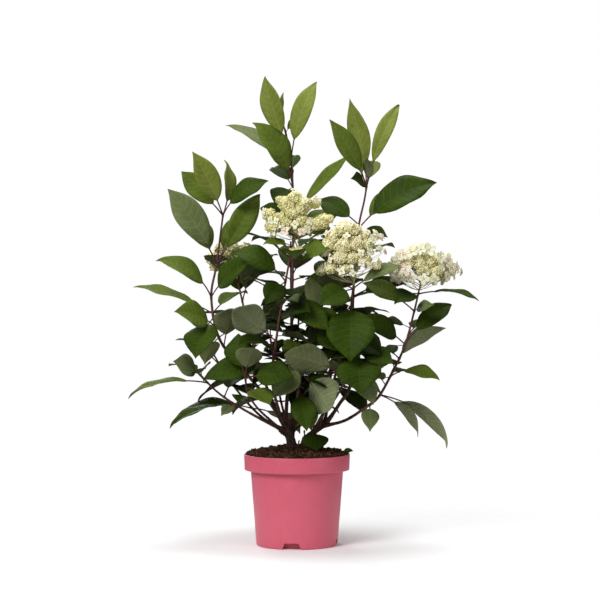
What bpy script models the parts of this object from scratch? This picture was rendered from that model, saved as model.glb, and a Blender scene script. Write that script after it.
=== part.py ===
"""Panicle hydrangea in its pink nursery pot, as an assembly of separate named solids.

Three short woody trunks stand on the soil. Each carries bare boughs, and every bough ends where it
enters a leafy shoot, a mass of leaves fused on one stem. Five shoots end in a flower head.
The origin is the middle of the pot's flat underside: +X right, +Y away from the viewer, +Z up.
"""

import math
import random

import bmesh
import bpy
from mathutils import Matrix, Vector
from mathutils.bvhtree import BVHTree

MM = 0.001

# Driving sizes of the pot, in millimetres
POT_HEIGHT = 162.0
RIM_RADIUS = 95.0
RIM_DEPTH = 28.0
RIM_TAPER = 1.0
RIM_ROUNDING = 3.2
LEDGE_EXTRA = 1.2
LEDGE_SLOPE = 2.0
EDGE_ROUNDING = 0.8
SHOULDER_RADIUS = 83.0
BASE_RADIUS = 73.0
FOOT_ROUNDING = 1.2
WALL = 1.8
POT_SIDES = 36
ALCOVE_COUNT = 4
ALCOVE_HEIGHT = 11.0
ALCOVE_TOP_WIDTH = 25.0
ALCOVE_FOOT_WIDTH = 38.0
ALCOVE_REACH = 15.0
ALCOVE_TURN = -97.5
CUT_PAST = 12.0
CUT_BELOW = 5.0

# Driving sizes of the soil, in millimetres
MOUND_HEIGHT = 12.0
MOUND_RADIUS = 50.0
TABLE_RADIUS = 30.0
BRIM_SLOPE = 4.0
BRIM_RISE = 1.0

# Driving sizes of the stems and leaves, in millimetres
GAP = 0.3
STUB = 27.0
STUB_FLARE = 1.15
STEM_STEP = 34.0
END_REACH = 10.0
TIP_RADIUS = 1.7
STALK_RADIUS = 1.35
STALK_SHARE = 0.24
LEAF_THICKNESS = 1.5
LEAF_FOLD = 0.16
LEAF_ARCH = 0.09
LEAF_RINGS = (-0.01, 0.0, STALK_SHARE, 0.44, 0.68, 0.88, 1.0)
PROBE_MARGIN = 0.9
SWINGS = (0, 8, -8, 16, -16, 24, -24, 32, -32)
LIFTS = (0, 12, -12, 24, -24)
LOWEST_LEAF = POT_HEIGHT + 6.0

# The trunks: their axis from the flat cut at the soil to the fork, radius at the foot and at the fork
TRUNKS = {
    "left": (((-9, -2, 0), (-12, -2, 14), (-20, -1, 34)), 9.2, 6.8),
    "right": (((10, -5, 0), (16, -4, 14), (32, 0, 28), (52, 2, 42)), 6.2, 4.6),
    "back": (((-10, 18, 0), (-11, 23, 16), (-8, 31, 36)), 7.4, 5.4),
}

# The stems that show in front: the trunk that each leaves, the share of that trunk's length where it
# leaves, its guide points in millimetres, its radius at the foot, and the length that stays bare
STEMS = {
    "left_tall": ("left", 0.95, ((-54, -8, 262), (-103, -22, 322), (-139, -25, 371),
                                (-153, -18, 443), (-144, -8, 502), (-133, 0, 590)), 3.3, 128),
    "centre_tall": ("left", 1.0, ((-18, 12, 259), (-11, 22, 310), (-9, 36, 439),
                                  (-7, 40, 547), (-8, 40, 650), (-14, 38, 709), (-22, 35, 748)), 3.6, 205),
    "front_upright": ("left", 0.75, ((-34, -30, 248), (-44, -46, 300), (-38, -55, 358),
                                   (-25, -62, 441), (-13, -62, 508), (-5, -60, 541)), 2.9, 118),
    "low_left": ("left", 0.7, ((-56, 6, 219), (-103, 7, 245), (-142, 0, 272),
                               (-178, -5, 308)), 2.8, 78),
    "inner_left": ("left", 0.6, ((-50, -22, 226), (-72, -50, 250), (-86, -76, 276),
                                 (-90, -94, 304)), 2.4, 66),
    "front_middle": ("left", 0.95, ((-5, -24, 240), (2, -40, 275), (10, -54, 320),
                                    (27, -68, 400)), 2.4, 60),
    "right_tall": ("right", 1.0, ((74, 12, 247), (99, 22, 295), (101, 30, 418),
                                  (108, 30, 547), (122, 26, 619), (126, 24, 645)), 3.4, 190),
    "middle_upright": ("right", 0.7, ((52, -16, 250), (72, -44, 320), (90, -64, 395),
                                     (99, -72, 464)), 2.8, 120),
    "right_side": ("right", 0.85, ((86, -4, 222), (122, -8, 245), (146, -12, 265),
                                     (171, -15, 310), (193, -20, 358), (209, -22, 418),
                                     (217, -20, 452)), 3.0, 66),
    "front_right": ("right", 0.5, ((46, -30, 236), (70, -52, 268), (92, -72, 315),
                                   (100, -82, 352)), 2.4, 62),
}

# The stems behind: trunk, share of the trunk, compass bearing in degrees from +X towards +Y, how far
# the tip stands out and how high, in millimetres, radius at the foot, and the bare length
BACK_STEMS = {
    "back_left": ("back", 1.0, 134, 150, 478, 3.0, 110),
    "back_right": ("back", 0.9, 52, 140, 500, 3.0, 115),
    "back_middle": ("back", 0.95, 92, 105, 548, 3.2, 125),
    "back_low_left": ("back", 0.7, 142, 190, 340, 2.6, 88),
    "back_low": ("back", 0.8, 104, 178, 372, 2.6, 86),
    "back_low_right": ("back", 0.65, 58, 182, 384, 2.6, 138),
    "inner_middle": ("back", 0.85, 74, 46, 436, 2.6, 100),
    "inner_right": ("right", 0.9, 58, 42, 412, 2.6, 84),
}

# The leaves that show in front, shoot by shoot: height on the stem, then how far the tip lies across,
# back and up from there, how far the upper side is turned to the viewer in degrees, and the width.
# A seventh value is the arch of a leaf that bends more than the rest
FRONT_LEAVES = {
    "left_tall": (
        (588, -76, 0, 80, 78, 42), (588, -52, -42, 112, 108, 44), (588, 4, 30, 104, 66, 40),
        (586, 83, -20, 62, 55, 46, 0.16), (502, -86, -25, 135, 75, 58), (502, 78, 20, 131, 80, 44),
        (443, -95, -45, 68, 48, 50, 0.16), (438, 76, -50, 66, 62, 58),
        (408, -144, 20, 50, 14, 50, 0.05), (408, 60, 70, 40, 0, 46), (386, -68, -60, 28, 62, 54),
        (400, -28, -72, -70, 0, 60), (366, -29, 60, -49, 0, 40), (352, 24, -70, 70, 0, 56),
        (500, 58, 74, 92, 20, 48), (500, -62, 66, 92, 20, 48),
    ),
    "centre_tall": (
        (640, -72, -35, 119, 70, 58, 0.14), (662, -124, 45, 97, 30, 34, 0.13),
        (640, -37, 74, 46, 10, 44), (664, 4, 78, 44, 0, 26), (688, 48, 10, 151, 60, 38, 0.17),
        (709, -46, -15, 136, 125, 40), (746, -3, 20, 71, 60, 16), (738, 16, -16, 28, 60, 16),
        (584, 104, -15, 112, 50, 32, 0.03), (640, -32, -62, -34, 20, 46), (555, 84, 25, 40, 45, 44),
        (572, -62, 20, 28, 40, 40), (556, 70, 40, 14, 45, 42), (520, 60, 92, 20, 0, 46),
        (520, -78, 74, 26, 0, 46), (470, 66, 80, -4, 0, 48), (470, -70, 78, 10, 0, 48),
    ),
    "front_upright": (
        (441, 81, -60, -56, 40, 50), (470, -34, -60, -40, 30, 42), (365, -76, -45, 58, -60, 58),
        (350, -62, -82, 12, 25, 42), (466, -98, -20, 52, 50, 54, 0.16), (532, -52, -32, 4, 30, 26),
        (500, 72, -40, 26, 50, 46), (520, 8, -88, -12, 0, 40), (430, -62, -40, 44, 10, 30),
        (322, -124, -36, -28, 55, 46), (400, 74, -62, 12, 45, 50), (334, 60, 52, 12, 30, 46),
        (424, -8, -86, 30, 20, 46),
    ),
    "low_left": (
        (288, -144, -15, -23, 8, 46), (248, -118, -30, -38, 8, 44), (246, -27, -45, -14, 20, 24),
        (304, -43, -50, 26, 70, 44), (298, 10, -66, 18, 30, 38), (296, -70, 84, 20, 0, 44),
        (262, 30, 96, 40, 0, 44),
    ),
    "inner_left": (
        (284, 42, -50, -26, 10, 50), (300, 86, -28, 6, 50, 56), (302, 16, -8, 76, 85, 54),
        (304, 12, -60, 54, -10, 46), (262, -20, -82, 0, 5, 42),
    ),
    "front_middle": (
        (304, 50, -40, -66, -90, 76), (280, 14, -62, -72, 10, 44), (388, 66, -60, -44, 40, 54),
        (232, 34, -50, -48, 10, 42), (398, 24, -62, 66, 30, 46), (322, -52, -44, -58, 40, 52),
        (342, 34, 84, 34, 20, 46),
    ),
    "right_tall": (
        (567, -76, 20, 48, 45, 48), (565, 143, -20, 86, 55, 68, 0.14),
        (644, -31, 34, 162, 66, 42, -0.1), (643, 63, 25, 155, 55, 30, 0.17),
        (643, -68, -40, 117, 100, 38), (640, -32, 92, 96, 10, 30), (640, -28, -58, 14, 60, 34),
        (644, 8, -34, 48, 30, 22), (556, 52, -62, -6, 50, 34), (500, 76, 70, 26, 0, 48),
        (500, -64, 82, 22, 0, 48), (440, 96, -20, 24, 35, 50), (450, -86, 30, 20, 40, 50),
        (565, 100, 84, 74, 20, 50), (640, 22, 90, 58, 10, 28),
    ),
    "middle_upright": (
        (456, 86, -22, 40, 40, 36), (456, -75, -45, -28, 45, 50), (462, 2, -66, 24, 0, 28),
        (440, -14, -64, -112, 0, 84), (420, 30, 62, -16, 0, 44), (372, 62, -50, -30, 35, 50),
        (380, -62, -70, 22, 30, 50), (338, 44, -66, 16, 40, 50), (408, -80, -34, 2, 50, 50),
    ),
    "right_side": (
        (448, 108, -15, -11, 8, 46), (446, -46, -66, -16, 25, 42), (418, 30, -56, 12, 70, 22),
        (416, -85, 40, 52, 40, 46), (362, 86, 32, 69, 40, 42), (312, 86, -38, 74, -45, 42, 0.2),
        (358, -88, -50, 48, 60, 50), (306, 83, -28, -13, 25, 42), (266, 122, -34, -92, -60, 32, 0.2),
        (268, 67, -40, -72, -60, 32, 0.16), (250, -2, -62, -42, 5, 32), (330, -40, 96, 10, 0, 46),
        (372, 50, 94, 20, 0, 46), (300, 62, 92, 0, 0, 46),
    ),
    "front_right": (
        (350, 11, -52, -74, 10, 78), (302, -122, -60, 39, -60, 54), (345, 58, -46, -20, 40, 46),
        (318, 40, -40, -62, 20, 44), (348, -40, -86, 30, 20, 46),
    ),
}

# The rule of the leaves behind: sizes and angles at the foot of the leafy stretch and at its tip
RULE_LENGTH = (132, 108)
RULE_WIDTH_SHARE = 0.43
RULE_RISE = (-14, 56)
RULE_SPACING = (58, 30)
RULE_SCATTER = 14
RULE_SIZES = (0.88, 1.06)
FIRST_LEAVES = 12
LAST_LEAVES = 4
FIRST_SEED = 21

# The flower heads: the shoot that each ends, its axis across, back and up, its height and its
# half width in millimetres
HEADS = {
    "front_upright": ((-10, -6, 60), 82, 60),
    "middle_upright": ((8, -10, 60), 100, 60),
    "right_side": ((12, -4, 60), 84, 62),
    "back_left": ((-16, 10, 60), 80, 50),
    "back_right": ((12, 18, 60), 86, 54),
}
CORE_SHARE = 0.72
CORE_LEAD = 12.0
CLUSTERS = 7
CLUSTER_DEPTHS = (0.55, 0.82)
CLUSTER_RADIUS = 15.0
CLUSTER_SQUASH = 0.75
FLORETS = 5
FLORET_DEPTHS = (0.9, 1.0)
FLORET_RADIUS = 12.0
FLORET_NOTCH = 0.5
FLORET_CUP = 0.12
FLORET_THICKNESS = 1.6
BRANCH_RADIUS = 1.1
GOLDEN_ANGLE = math.radians(137.5)
HEAD_SEED = 71

# Colours as linear red, green and blue
PINK = (0.58, 0.10, 0.15)
SOIL_BROWN = (0.022, 0.013, 0.009)
BARK_BROWN = (0.060, 0.034, 0.024)
STEM_RED = (0.115, 0.040, 0.036)
LEAF_GREEN = (0.050, 0.095, 0.022)
CREAM = (0.70, 0.64, 0.38)


def remove_everything():
    for obj in list(bpy.data.objects):
        bpy.data.objects.remove(obj, do_unlink=True)


def new_collection(name):
    collection = bpy.data.collections.new(name)
    bpy.context.scene.collection.children.link(collection)
    return collection


def new_material(name, colour, roughness):
    material = bpy.data.materials.new(name)
    material.use_nodes = True
    shader = material.node_tree.nodes["Principled BSDF"]
    shader.inputs["Base Color"].default_value = (*colour, 1.0)
    shader.inputs["Roughness"].default_value = roughness
    shader.inputs["Metallic"].default_value = 0.0
    return material


def mesh_object(name, bm, collection):
    mesh = bpy.data.meshes.new(name)
    bm.to_mesh(mesh)
    bm.free()
    obj = bpy.data.objects.new(name, mesh)
    collection.objects.link(obj)
    return obj


def evaluated_mesh(obj):
    return bpy.data.meshes.new_from_object(obj.evaluated_get(bpy.context.evaluated_depsgraph_get()))


def add_boolean(obj, operation, cutter=None, group=None):
    modifier = obj.modifiers.new(operation.lower(), "BOOLEAN")
    modifier.operation = operation
    modifier.solver = "EXACT"
    if group:
        modifier.operand_type = "COLLECTION"
        modifier.collection = group
    else:
        modifier.object = cutter


def apply_modifiers(obj):
    mesh = evaluated_mesh(obj)
    obj.modifiers.clear()
    obj.data = mesh


def drop_collection(collection):
    for obj in list(collection.objects):
        bpy.data.objects.remove(obj, do_unlink=True)
    bpy.data.collections.remove(collection)


# The pot and its soil

def turned(name, profile, collection):
    """Turns a profile of (radius, height) pairs, given from the top of its outer side down."""
    mesh = bpy.data.meshes.new(name)
    points = [(radius * MM, 0.0, height * MM) for radius, height in profile]
    mesh.from_pydata(points, [(i, i + 1) for i in range(len(points) - 1)], [])
    obj = bpy.data.objects.new(name, mesh)
    collection.objects.link(obj)
    screw = obj.modifiers.new("turn", "SCREW")
    screw.axis = "Z"
    screw.angle = math.tau
    screw.steps = POT_SIDES
    screw.render_steps = POT_SIDES
    screw.use_merge_vertices = True
    screw.merge_threshold = 0.00001
    apply_modifiers(obj)
    return obj


def alcove_cutters(name, margin):
    """One wedge for each drainage alcove in the foot, wider by a margin on every side."""
    group = new_collection(name)
    reach = ALCOVE_REACH + margin
    outer = BASE_RADIUS + CUT_PAST
    inner = BASE_RADIUS - reach
    for index in range(ALCOVE_COUNT):
        bm = bmesh.new()
        bmesh.ops.create_cube(bm, size=1.0)
        for vert in bm.verts:
            upper = vert.co.z > 0
            half = (ALCOVE_TOP_WIDTH if upper else ALCOVE_FOOT_WIDTH) / 2 + margin
            vert.co.x = (outer if vert.co.x > 0 else inner) * MM
            vert.co.y = math.copysign(half, vert.co.y) * MM
            vert.co.z = (ALCOVE_HEIGHT + margin if upper else -CUT_BELOW - margin) * MM
        turn = math.radians(ALCOVE_TURN + 360.0 / ALCOVE_COUNT * index)
        bmesh.ops.rotate(bm, verts=bm.verts, cent=(0, 0, 0), matrix=Matrix.Rotation(turn, 3, "Z"))
        mesh_object(f"{name}_{index}", bm, group)
    return group


def inner_radius(height):
    """The pot's inside, which follows the tapered body and runs straight up past the rim."""
    share = min(height / (POT_HEIGHT - RIM_DEPTH), 1.0)
    return BASE_RADIUS + (SHOULDER_RADIUS - BASE_RADIUS) * share - WALL


def inside_profile(clearance, above=0.0):
    """The outer side of what fills the pot, from the brim down to the middle of the floor."""
    shoulder = POT_HEIGHT - RIM_DEPTH
    ledge = shoulder + WALL + LEDGE_EXTRA + clearance
    floor = WALL + clearance
    return [
        (RIM_RADIUS - WALL - clearance, POT_HEIGHT + above),
        (RIM_RADIUS - RIM_TAPER - WALL - clearance, ledge + LEDGE_SLOPE),
        (RIM_RADIUS - RIM_TAPER - RIM_ROUNDING - clearance, ledge),
        (inner_radius(shoulder) - clearance, ledge),
        (inner_radius(floor) - clearance, floor),
        (0.0, floor),
    ]


def build_pot(collection, material):
    shoulder = POT_HEIGHT - RIM_DEPTH
    profile = [
        (0.0, POT_HEIGHT),
        (RIM_RADIUS - EDGE_ROUNDING, POT_HEIGHT),
        (RIM_RADIUS, POT_HEIGHT - EDGE_ROUNDING),
        (RIM_RADIUS - RIM_TAPER, shoulder + RIM_ROUNDING),
        (RIM_RADIUS - RIM_TAPER - RIM_ROUNDING, shoulder),
        (SHOULDER_RADIUS, shoulder),
        (BASE_RADIUS, FOOT_ROUNDING),
        (BASE_RADIUS - FOOT_ROUNDING, 0.0),
        (0.0, 0.0),
    ]
    pot = turned("pot", profile, collection)
    alcoves = alcove_cutters("alcoves", 0.0)
    walls = alcove_cutters("alcove_walls", WALL)
    above = POT_HEIGHT + CUT_BELOW
    cavity = turned("cavity", [(0.0, above), *inside_profile(0.0, CUT_BELOW)], collection)
    add_boolean(cavity, "DIFFERENCE", group=walls)
    apply_modifiers(cavity)
    add_boolean(pot, "DIFFERENCE", group=alcoves)
    add_boolean(pot, "DIFFERENCE", cutter=cavity)
    apply_modifiers(pot)
    bpy.data.objects.remove(cavity, do_unlink=True)
    drop_collection(alcoves)
    drop_collection(walls)
    finish(pot, material)


def build_soil(collection, material):
    """The soil fills the pot to the brim and rises to a low mound, level where the trunks stand."""
    top = POT_HEIGHT + MOUND_HEIGHT
    sides = inside_profile(GAP)
    brim = sides[0][0]
    profile = [
        (0.0, top), (TABLE_RADIUS, top), (MOUND_RADIUS, top - MOUND_HEIGHT / 3),
        (brim - BRIM_SLOPE, POT_HEIGHT + BRIM_RISE), (brim, POT_HEIGHT - BRIM_RISE), *sides[1:],
    ]
    soil = turned("soil", profile, collection)
    walls = alcove_cutters("soil_alcoves", WALL + GAP)
    add_boolean(soil, "DIFFERENCE", group=walls)
    apply_modifiers(soil)
    drop_collection(walls)
    finish(soil, material)
    return top


def finish(obj, material):
    obj.data.materials.clear()
    obj.data.materials.append(material)
    obj.data.shade_smooth()
    obj.data.set_sharp_from_angle(angle=math.radians(35))


# Stems as smooth lines, and tubes along them

class Line:
    """A smooth line through guide points, measured along its own length in millimetres."""

    SAMPLES = 10

    def __init__(self, guides):
        guides = [Vector(guide) for guide in guides]
        ends = [2 * guides[0] - guides[1]] + guides + [2 * guides[-1] - guides[-2]]
        self.points = [guides[0]]
        for a, b, c, d in zip(ends, ends[1:], ends[2:], ends[3:]):
            for step in range(1, self.SAMPLES + 1):
                t = step / self.SAMPLES
                turn = b * 2 + (c - a) * t + (a * 2 - b * 5 + c * 4 - d) * t ** 2
                self.points.append((turn + (b * 3 - a - c * 3 + d) * t ** 3) / 2)
        self.marks = [0.0]
        for before, after in zip(self.points, self.points[1:]):
            self.marks.append(self.marks[-1] + (after - before).length)
        self.length = self.marks[-1]

    def at(self, distance):
        """The point and the direction at a distance along the line."""
        index = 1
        while index < len(self.marks) - 1 and self.marks[index] < distance:
            index += 1
        span = self.marks[index] - self.marks[index - 1]
        share = (distance - self.marks[index - 1]) / span
        step = self.points[index] - self.points[index - 1]
        return self.points[index - 1] + step * share, step.normalized()

    def at_height(self, height):
        """The distance at which the line first reaches a height."""
        for index, point in enumerate(self.points):
            if point.z >= height:
                return self.marks[index]
        return self.length


def tube(name, line, start, end, radii, collection, sides=6):
    """A tapered tube with closed ends along part of a line."""
    count = max(2, round((end - start) / STEM_STEP) + 1)
    curve = bpy.data.curves.new(name, "CURVE")
    curve.dimensions = "3D"
    curve.bevel_depth = MM
    curve.bevel_resolution = (sides - 4) // 2
    curve.use_fill_caps = True
    spline = curve.splines.new("POLY")
    spline.points.add(count - 1)
    for index, point in enumerate(spline.points):
        share = index / (count - 1)
        place = line.at(start + (end - start) * share)[0] * MM
        point.co = (*place, 1.0)
        point.radius = radii[0] + (radii[1] - radii[0]) * share
    source = bpy.data.objects.new(name, curve)
    collection.objects.link(source)
    bpy.context.view_layer.update()
    mesh = evaluated_mesh(source)
    bpy.data.objects.remove(source, do_unlink=True)
    bm = bmesh.new()
    bm.from_mesh(mesh)
    bmesh.ops.remove_doubles(bm, verts=bm.verts, dist=0.00001)
    bmesh.ops.recalc_face_normals(bm, faces=bm.faces)
    for distance in (start, end):
        square_end(bm, *line.at(distance))
    return mesh_object(name, bm, collection)


def square_end(bm, place, along):
    """Turns an end of a tube square to its line, so that two that meet keep an even gap."""
    for vert in bm.verts:
        away = vert.co - place * MM
        if away.length < END_REACH * MM:
            vert.co -= along * away.dot(along)


def stem_radius(stem, distance):
    share = distance / stem["line"].length
    return stem["radius"] + (TIP_RADIUS - stem["radius"]) * share ** 0.8


def plan_stems(ground):
    """Works out the line of every trunk and stem."""
    trunks = {}
    for name, (guides, foot, fork) in TRUNKS.items():
        line = Line([(x, y, ground + GAP + z) for x, y, z in guides])
        trunks[name] = {"line": line, "foot": foot, "fork": fork}
    stems = {}
    for name, (trunk, share, guides, radius, bare) in STEMS.items():
        start = trunks[trunk]["line"].at(trunks[trunk]["line"].length * share)[0]
        stems[name] = {"trunk": trunk, "line": Line([start, *guides]), "radius": radius, "bare": bare}
    for name, (trunk, share, bearing, spread, height, radius, bare) in BACK_STEMS.items():
        start = trunks[trunk]["line"].at(trunks[trunk]["line"].length * share)[0]
        out = Vector((math.cos(math.radians(bearing)), math.sin(math.radians(bearing)), 0.0))
        rise = Vector((0, 0, height - start.z))
        guides = [start + out * (spread * f ** 0.7) + rise * f ** 1.25 for f in (0.0, 0.2, 0.5, 0.8, 1.0)]
        stems[name] = {"trunk": trunk, "line": Line(guides), "radius": radius, "bare": bare}
    return trunks, stems


# Leaves

class Leaf:
    """A stalked blade from its root on the stem to its tip."""

    def __init__(self, root, reach, face, width, arch=LEAF_ARCH):
        self.root = root
        self.reach = reach
        self.width = width
        self.bow = arch * reach.length
        along = reach.normalized()
        upper = (Vector((0, 0, 1)) - along * along.z).normalized()
        aside = along.cross(upper)
        if aside.y > 0:
            aside.negate()
        self.normal = upper * math.cos(face) + aside * math.sin(face)

    def frame(self, t):
        """The midrib's point, the direction to one side and the upper side's direction at a share."""
        point = self.root + self.reach * t + self.normal * (4 * self.bow * t * (1 - t))
        along = (self.reach + self.normal * (4 * self.bow * (1 - 2 * t))).normalized()
        side = along.cross(self.normal).normalized()
        return point, side, side.cross(along)

    def half_width(self, t):
        u = (t - STALK_SHARE) / (1 - STALK_SHARE)
        if u <= 0.0 or u >= 1.0:
            return STALK_RADIUS if u < 1.0 else 0.0
        return max(STALK_RADIUS, self.width / 2 * math.sin(math.pi * u ** 0.9) ** 0.85)

    def thickness(self):
        return max(LEAF_THICKNESS, self.reach.length / 90)


def leaf_mesh(leaf, margin=0.0, first=0):
    """A small sphere drawn out into the leaf, from one of its rings to the tip."""
    rings = LEAF_RINGS[first:]
    bm = bmesh.new()
    bmesh.ops.create_uvsphere(bm, u_segments=4, v_segments=len(rings) - 1, radius=1.0)
    for vert in bm.verts:
        level = math.acos(max(-1.0, min(1.0, vert.co.z))) / math.pi * (len(rings) - 1)
        t = rings[round(level)]
        pole = abs(vert.co.z) > 0.999
        point, side, up = leaf.frame(t)
        half = 0.0 if pole else leaf.half_width(t) + margin
        blade = t > STALK_SHARE
        deep = 0.0 if pole else (leaf.thickness() / 2 if blade else STALK_RADIUS) + margin
        x, y = (0.0, 0.0) if pole else (round(vert.co.x, 3), round(vert.co.y, 3))
        x, y = (math.copysign(1, x), 0) if abs(x) > abs(y) else (0, math.copysign(1, y) if y else 0)
        lift = LEAF_FOLD * half * abs(x) if blade else 0.0
        vert.co = (point + side * (x * half) + up * (y * deep + lift)) * MM
    bmesh.ops.recalc_face_normals(bm, faces=bm.faces)
    return bm


def probe(leaf, first=0):
    """The space that a leaf needs, for telling whether it touches anything."""
    bm = leaf_mesh(leaf, PROBE_MARGIN, first)
    tree = BVHTree.FromBMesh(bm)
    bm.free()
    return tree


def tree_of(obj):
    bm = bmesh.new()
    bm.from_mesh(obj.data)
    tree = BVHTree.FromBMesh(bm)
    bm.free()
    return tree


def lowest(leaf):
    return min(leaf.frame(step / 8)[0].z for step in range(9))


def wanted_leaves(name, stem, number):
    """The leaves that a shoot would carry: those that show in front, or by the rule behind."""
    line = stem["line"]
    if name in FRONT_LEAVES:
        for height, across, back, up, face, width, *bend in FRONT_LEAVES[name]:
            distance = max(line.at_height(height), stem["bare"] + 5)
            yield distance, Vector((across, back, up)), (math.radians(face), width, *bend)
        return
    dice = random.Random(FIRST_SEED + number)
    turn = dice.uniform(0, math.tau)
    distance = stem["bare"] + FIRST_LEAVES
    while distance < line.length - LAST_LEAVES:
        share = (distance - stem["bare"]) / (line.length - stem["bare"])
        for half_turn in (0, math.pi):
            bearing = turn + half_turn + math.radians(dice.uniform(-1, 1) * RULE_SCATTER)
            rise = RULE_RISE[0] + (RULE_RISE[1] - RULE_RISE[0]) * share ** 1.5
            rise = math.radians(rise + dice.uniform(-1, 1) * RULE_SCATTER)
            size = RULE_LENGTH[0] + (RULE_LENGTH[1] - RULE_LENGTH[0]) * share
            size *= dice.uniform(*RULE_SIZES)
            flat = Vector((math.cos(bearing), math.sin(bearing), 0)) * math.cos(rise)
            reach = (flat + Vector((0, 0, math.sin(rise)))) * size
            face = math.radians(dice.uniform(-1, 1) * RULE_SCATTER)
            yield distance, reach, (face, size * RULE_WIDTH_SHARE)
        turn += math.pi / 2 + math.radians(dice.uniform(-1, 1) * RULE_SCATTER)
        distance += RULE_SPACING[0] + (RULE_SPACING[1] - RULE_SPACING[0]) * share


def tried_ways(reach):
    """A leaf's reach, first as wanted and then swung aside and lifted or lowered a little."""
    across = reach.cross(Vector((0, 0, 1))).normalized()
    for lift in LIFTS:
        lifted = Matrix.Rotation(math.radians(lift), 3, across) @ reach
        for swing in SWINGS:
            yield Matrix.Rotation(math.radians(swing), 3, "Z") @ lifted


def grow_shoot(name, stem, number, others, own):
    """Keeps each leaf that is clear of everything, or that a small turn clears, and skips the rest."""
    leaves = []
    for distance, wanted, shape in wanted_leaves(name, stem, number):
        root = stem["line"].at(distance)[0]
        for reach in tried_ways(wanted):
            leaf = Leaf(root, reach, *shape)
            whole = probe(leaf)
            blade = probe(leaf, 2)
            touching = any(whole.overlap(tree) for tree in others)
            touching = touching or any(blade.overlap(tree) for tree in own)
            if not touching and lowest(leaf) > LOWEST_LEAF:
                leaves.append(leaf)
                own.append(whole)
                break
    return leaves


# Flower heads

def head_frame(head):
    axis = Vector(head["axis"]).normalized()
    across = axis.cross(Vector((0, 1, 0))).normalized()
    return axis, across, axis.cross(across)


def head_points(head, count, seed, inner, outer):
    """Places on the dome of a flower head, spread by the golden angle, with the way each faces."""
    dice = random.Random(seed)
    axis, across, back = head_frame(head)
    for index in range(count):
        share = (index + 0.5) / count
        tilt = math.acos(1 - share * 0.93)
        turn = index * GOLDEN_ANGLE + dice.uniform(-0.25, 0.25)
        deep = dice.uniform(inner, outer)
        out = (across * math.cos(turn) + back * math.sin(turn)) * math.sin(tilt)
        place = head["foot"] + axis * (head["height"] * (0.34 + 0.66 * math.cos(tilt) * deep))
        yield place + out * (head["spread"] * deep), (out + axis * (math.cos(tilt) + 0.25)).normalized()


def branch(name, start, end, collection):
    """A three-sided twig between two points."""
    bm = bmesh.new()
    span = end - start
    bmesh.ops.create_cone(bm, cap_ends=True, segments=3, radius1=BRANCH_RADIUS * MM,
                          radius2=BRANCH_RADIUS * 0.8 * MM, depth=span.length * MM)
    matrix = Matrix.Translation((start + end) / 2 * MM) @ span.to_track_quat("Z", "Y").to_matrix().to_4x4()
    bmesh.ops.transform(bm, matrix=matrix, verts=bm.verts)
    return mesh_object(name, bm, collection)


def add_cluster(name, place, size, collection):
    """A knot of small buds as one low ball."""
    bm = bmesh.new()
    bmesh.ops.create_icosphere(bm, subdivisions=1, radius=size * MM)
    bmesh.ops.scale(bm, vec=(1.0, 1.0, CLUSTER_SQUASH), verts=bm.verts)
    bmesh.ops.translate(bm, vec=place * MM, verts=bm.verts)
    return mesh_object(name, bm, collection)


def add_floret(name, place, facing, size, turn, collection):
    """Four sepals as one plate with four notches."""
    bm = bmesh.new()
    bmesh.ops.create_cone(bm, cap_ends=True, segments=8, radius1=size * MM, radius2=size * 0.94 * MM,
                          depth=FLORET_THICKNESS * MM)
    for vert in bm.verts:
        step = round(math.atan2(vert.co.y, vert.co.x) / (math.tau / 8))
        if step % 2:
            vert.co.x *= FLORET_NOTCH
            vert.co.y *= FLORET_NOTCH
        else:
            vert.co.z += FLORET_CUP * size * MM
    spin = Matrix.Rotation(turn, 4, "Z")
    matrix = Matrix.Translation(place * MM) @ facing.to_track_quat("Z", "Y").to_matrix().to_4x4() @ spin
    bmesh.ops.transform(bm, matrix=matrix, verts=bm.verts)
    return mesh_object(name, bm, collection)


def build_head(name, head, number, collection, material):
    axis = head_frame(head)[0]
    parts = new_collection(f"parts_{name}")
    top = head["foot"] + axis * (head["height"] * CORE_SHARE)
    lead = head["foot"] + head["along"] * CORE_LEAD
    core = Line([head["foot"], lead, (head["foot"] + top) / 2, top])
    obj = tube(f"flower_head_{name}", core, GAP, core.length, (TIP_RADIUS, 1.0), collection, 4)
    dice = random.Random(HEAD_SEED + number)
    clusters = list(head_points(head, CLUSTERS, HEAD_SEED + number, *CLUSTER_DEPTHS))
    florets = list(head_points(head, FLORETS, HEAD_SEED + number + 100, *FLORET_DEPTHS))
    for index, (place, facing) in enumerate(clusters):
        start = core.at(core.length * (0.35 + 0.6 * max(0.0, facing.dot(axis))))[0]
        branch(f"twig_{index}", start, place, parts)
        add_cluster(f"cluster_{index}", place, CLUSTER_RADIUS * dice.uniform(0.85, 1.15), parts)
    for index, (place, facing) in enumerate(florets):
        start = core.at(core.length * (0.4 + 0.5 * max(0.0, facing.dot(axis))))[0]
        branch(f"stalk_{index}", start, place, parts)
        size = FLORET_RADIUS * dice.uniform(0.85, 1.1)
        add_floret(f"floret_{index}", place, facing, size, dice.uniform(0, math.tau), parts)
    add_boolean(obj, "UNION", group=parts)
    apply_modifiers(obj)
    drop_collection(parts)
    finish(obj, material)
    return obj


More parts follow.
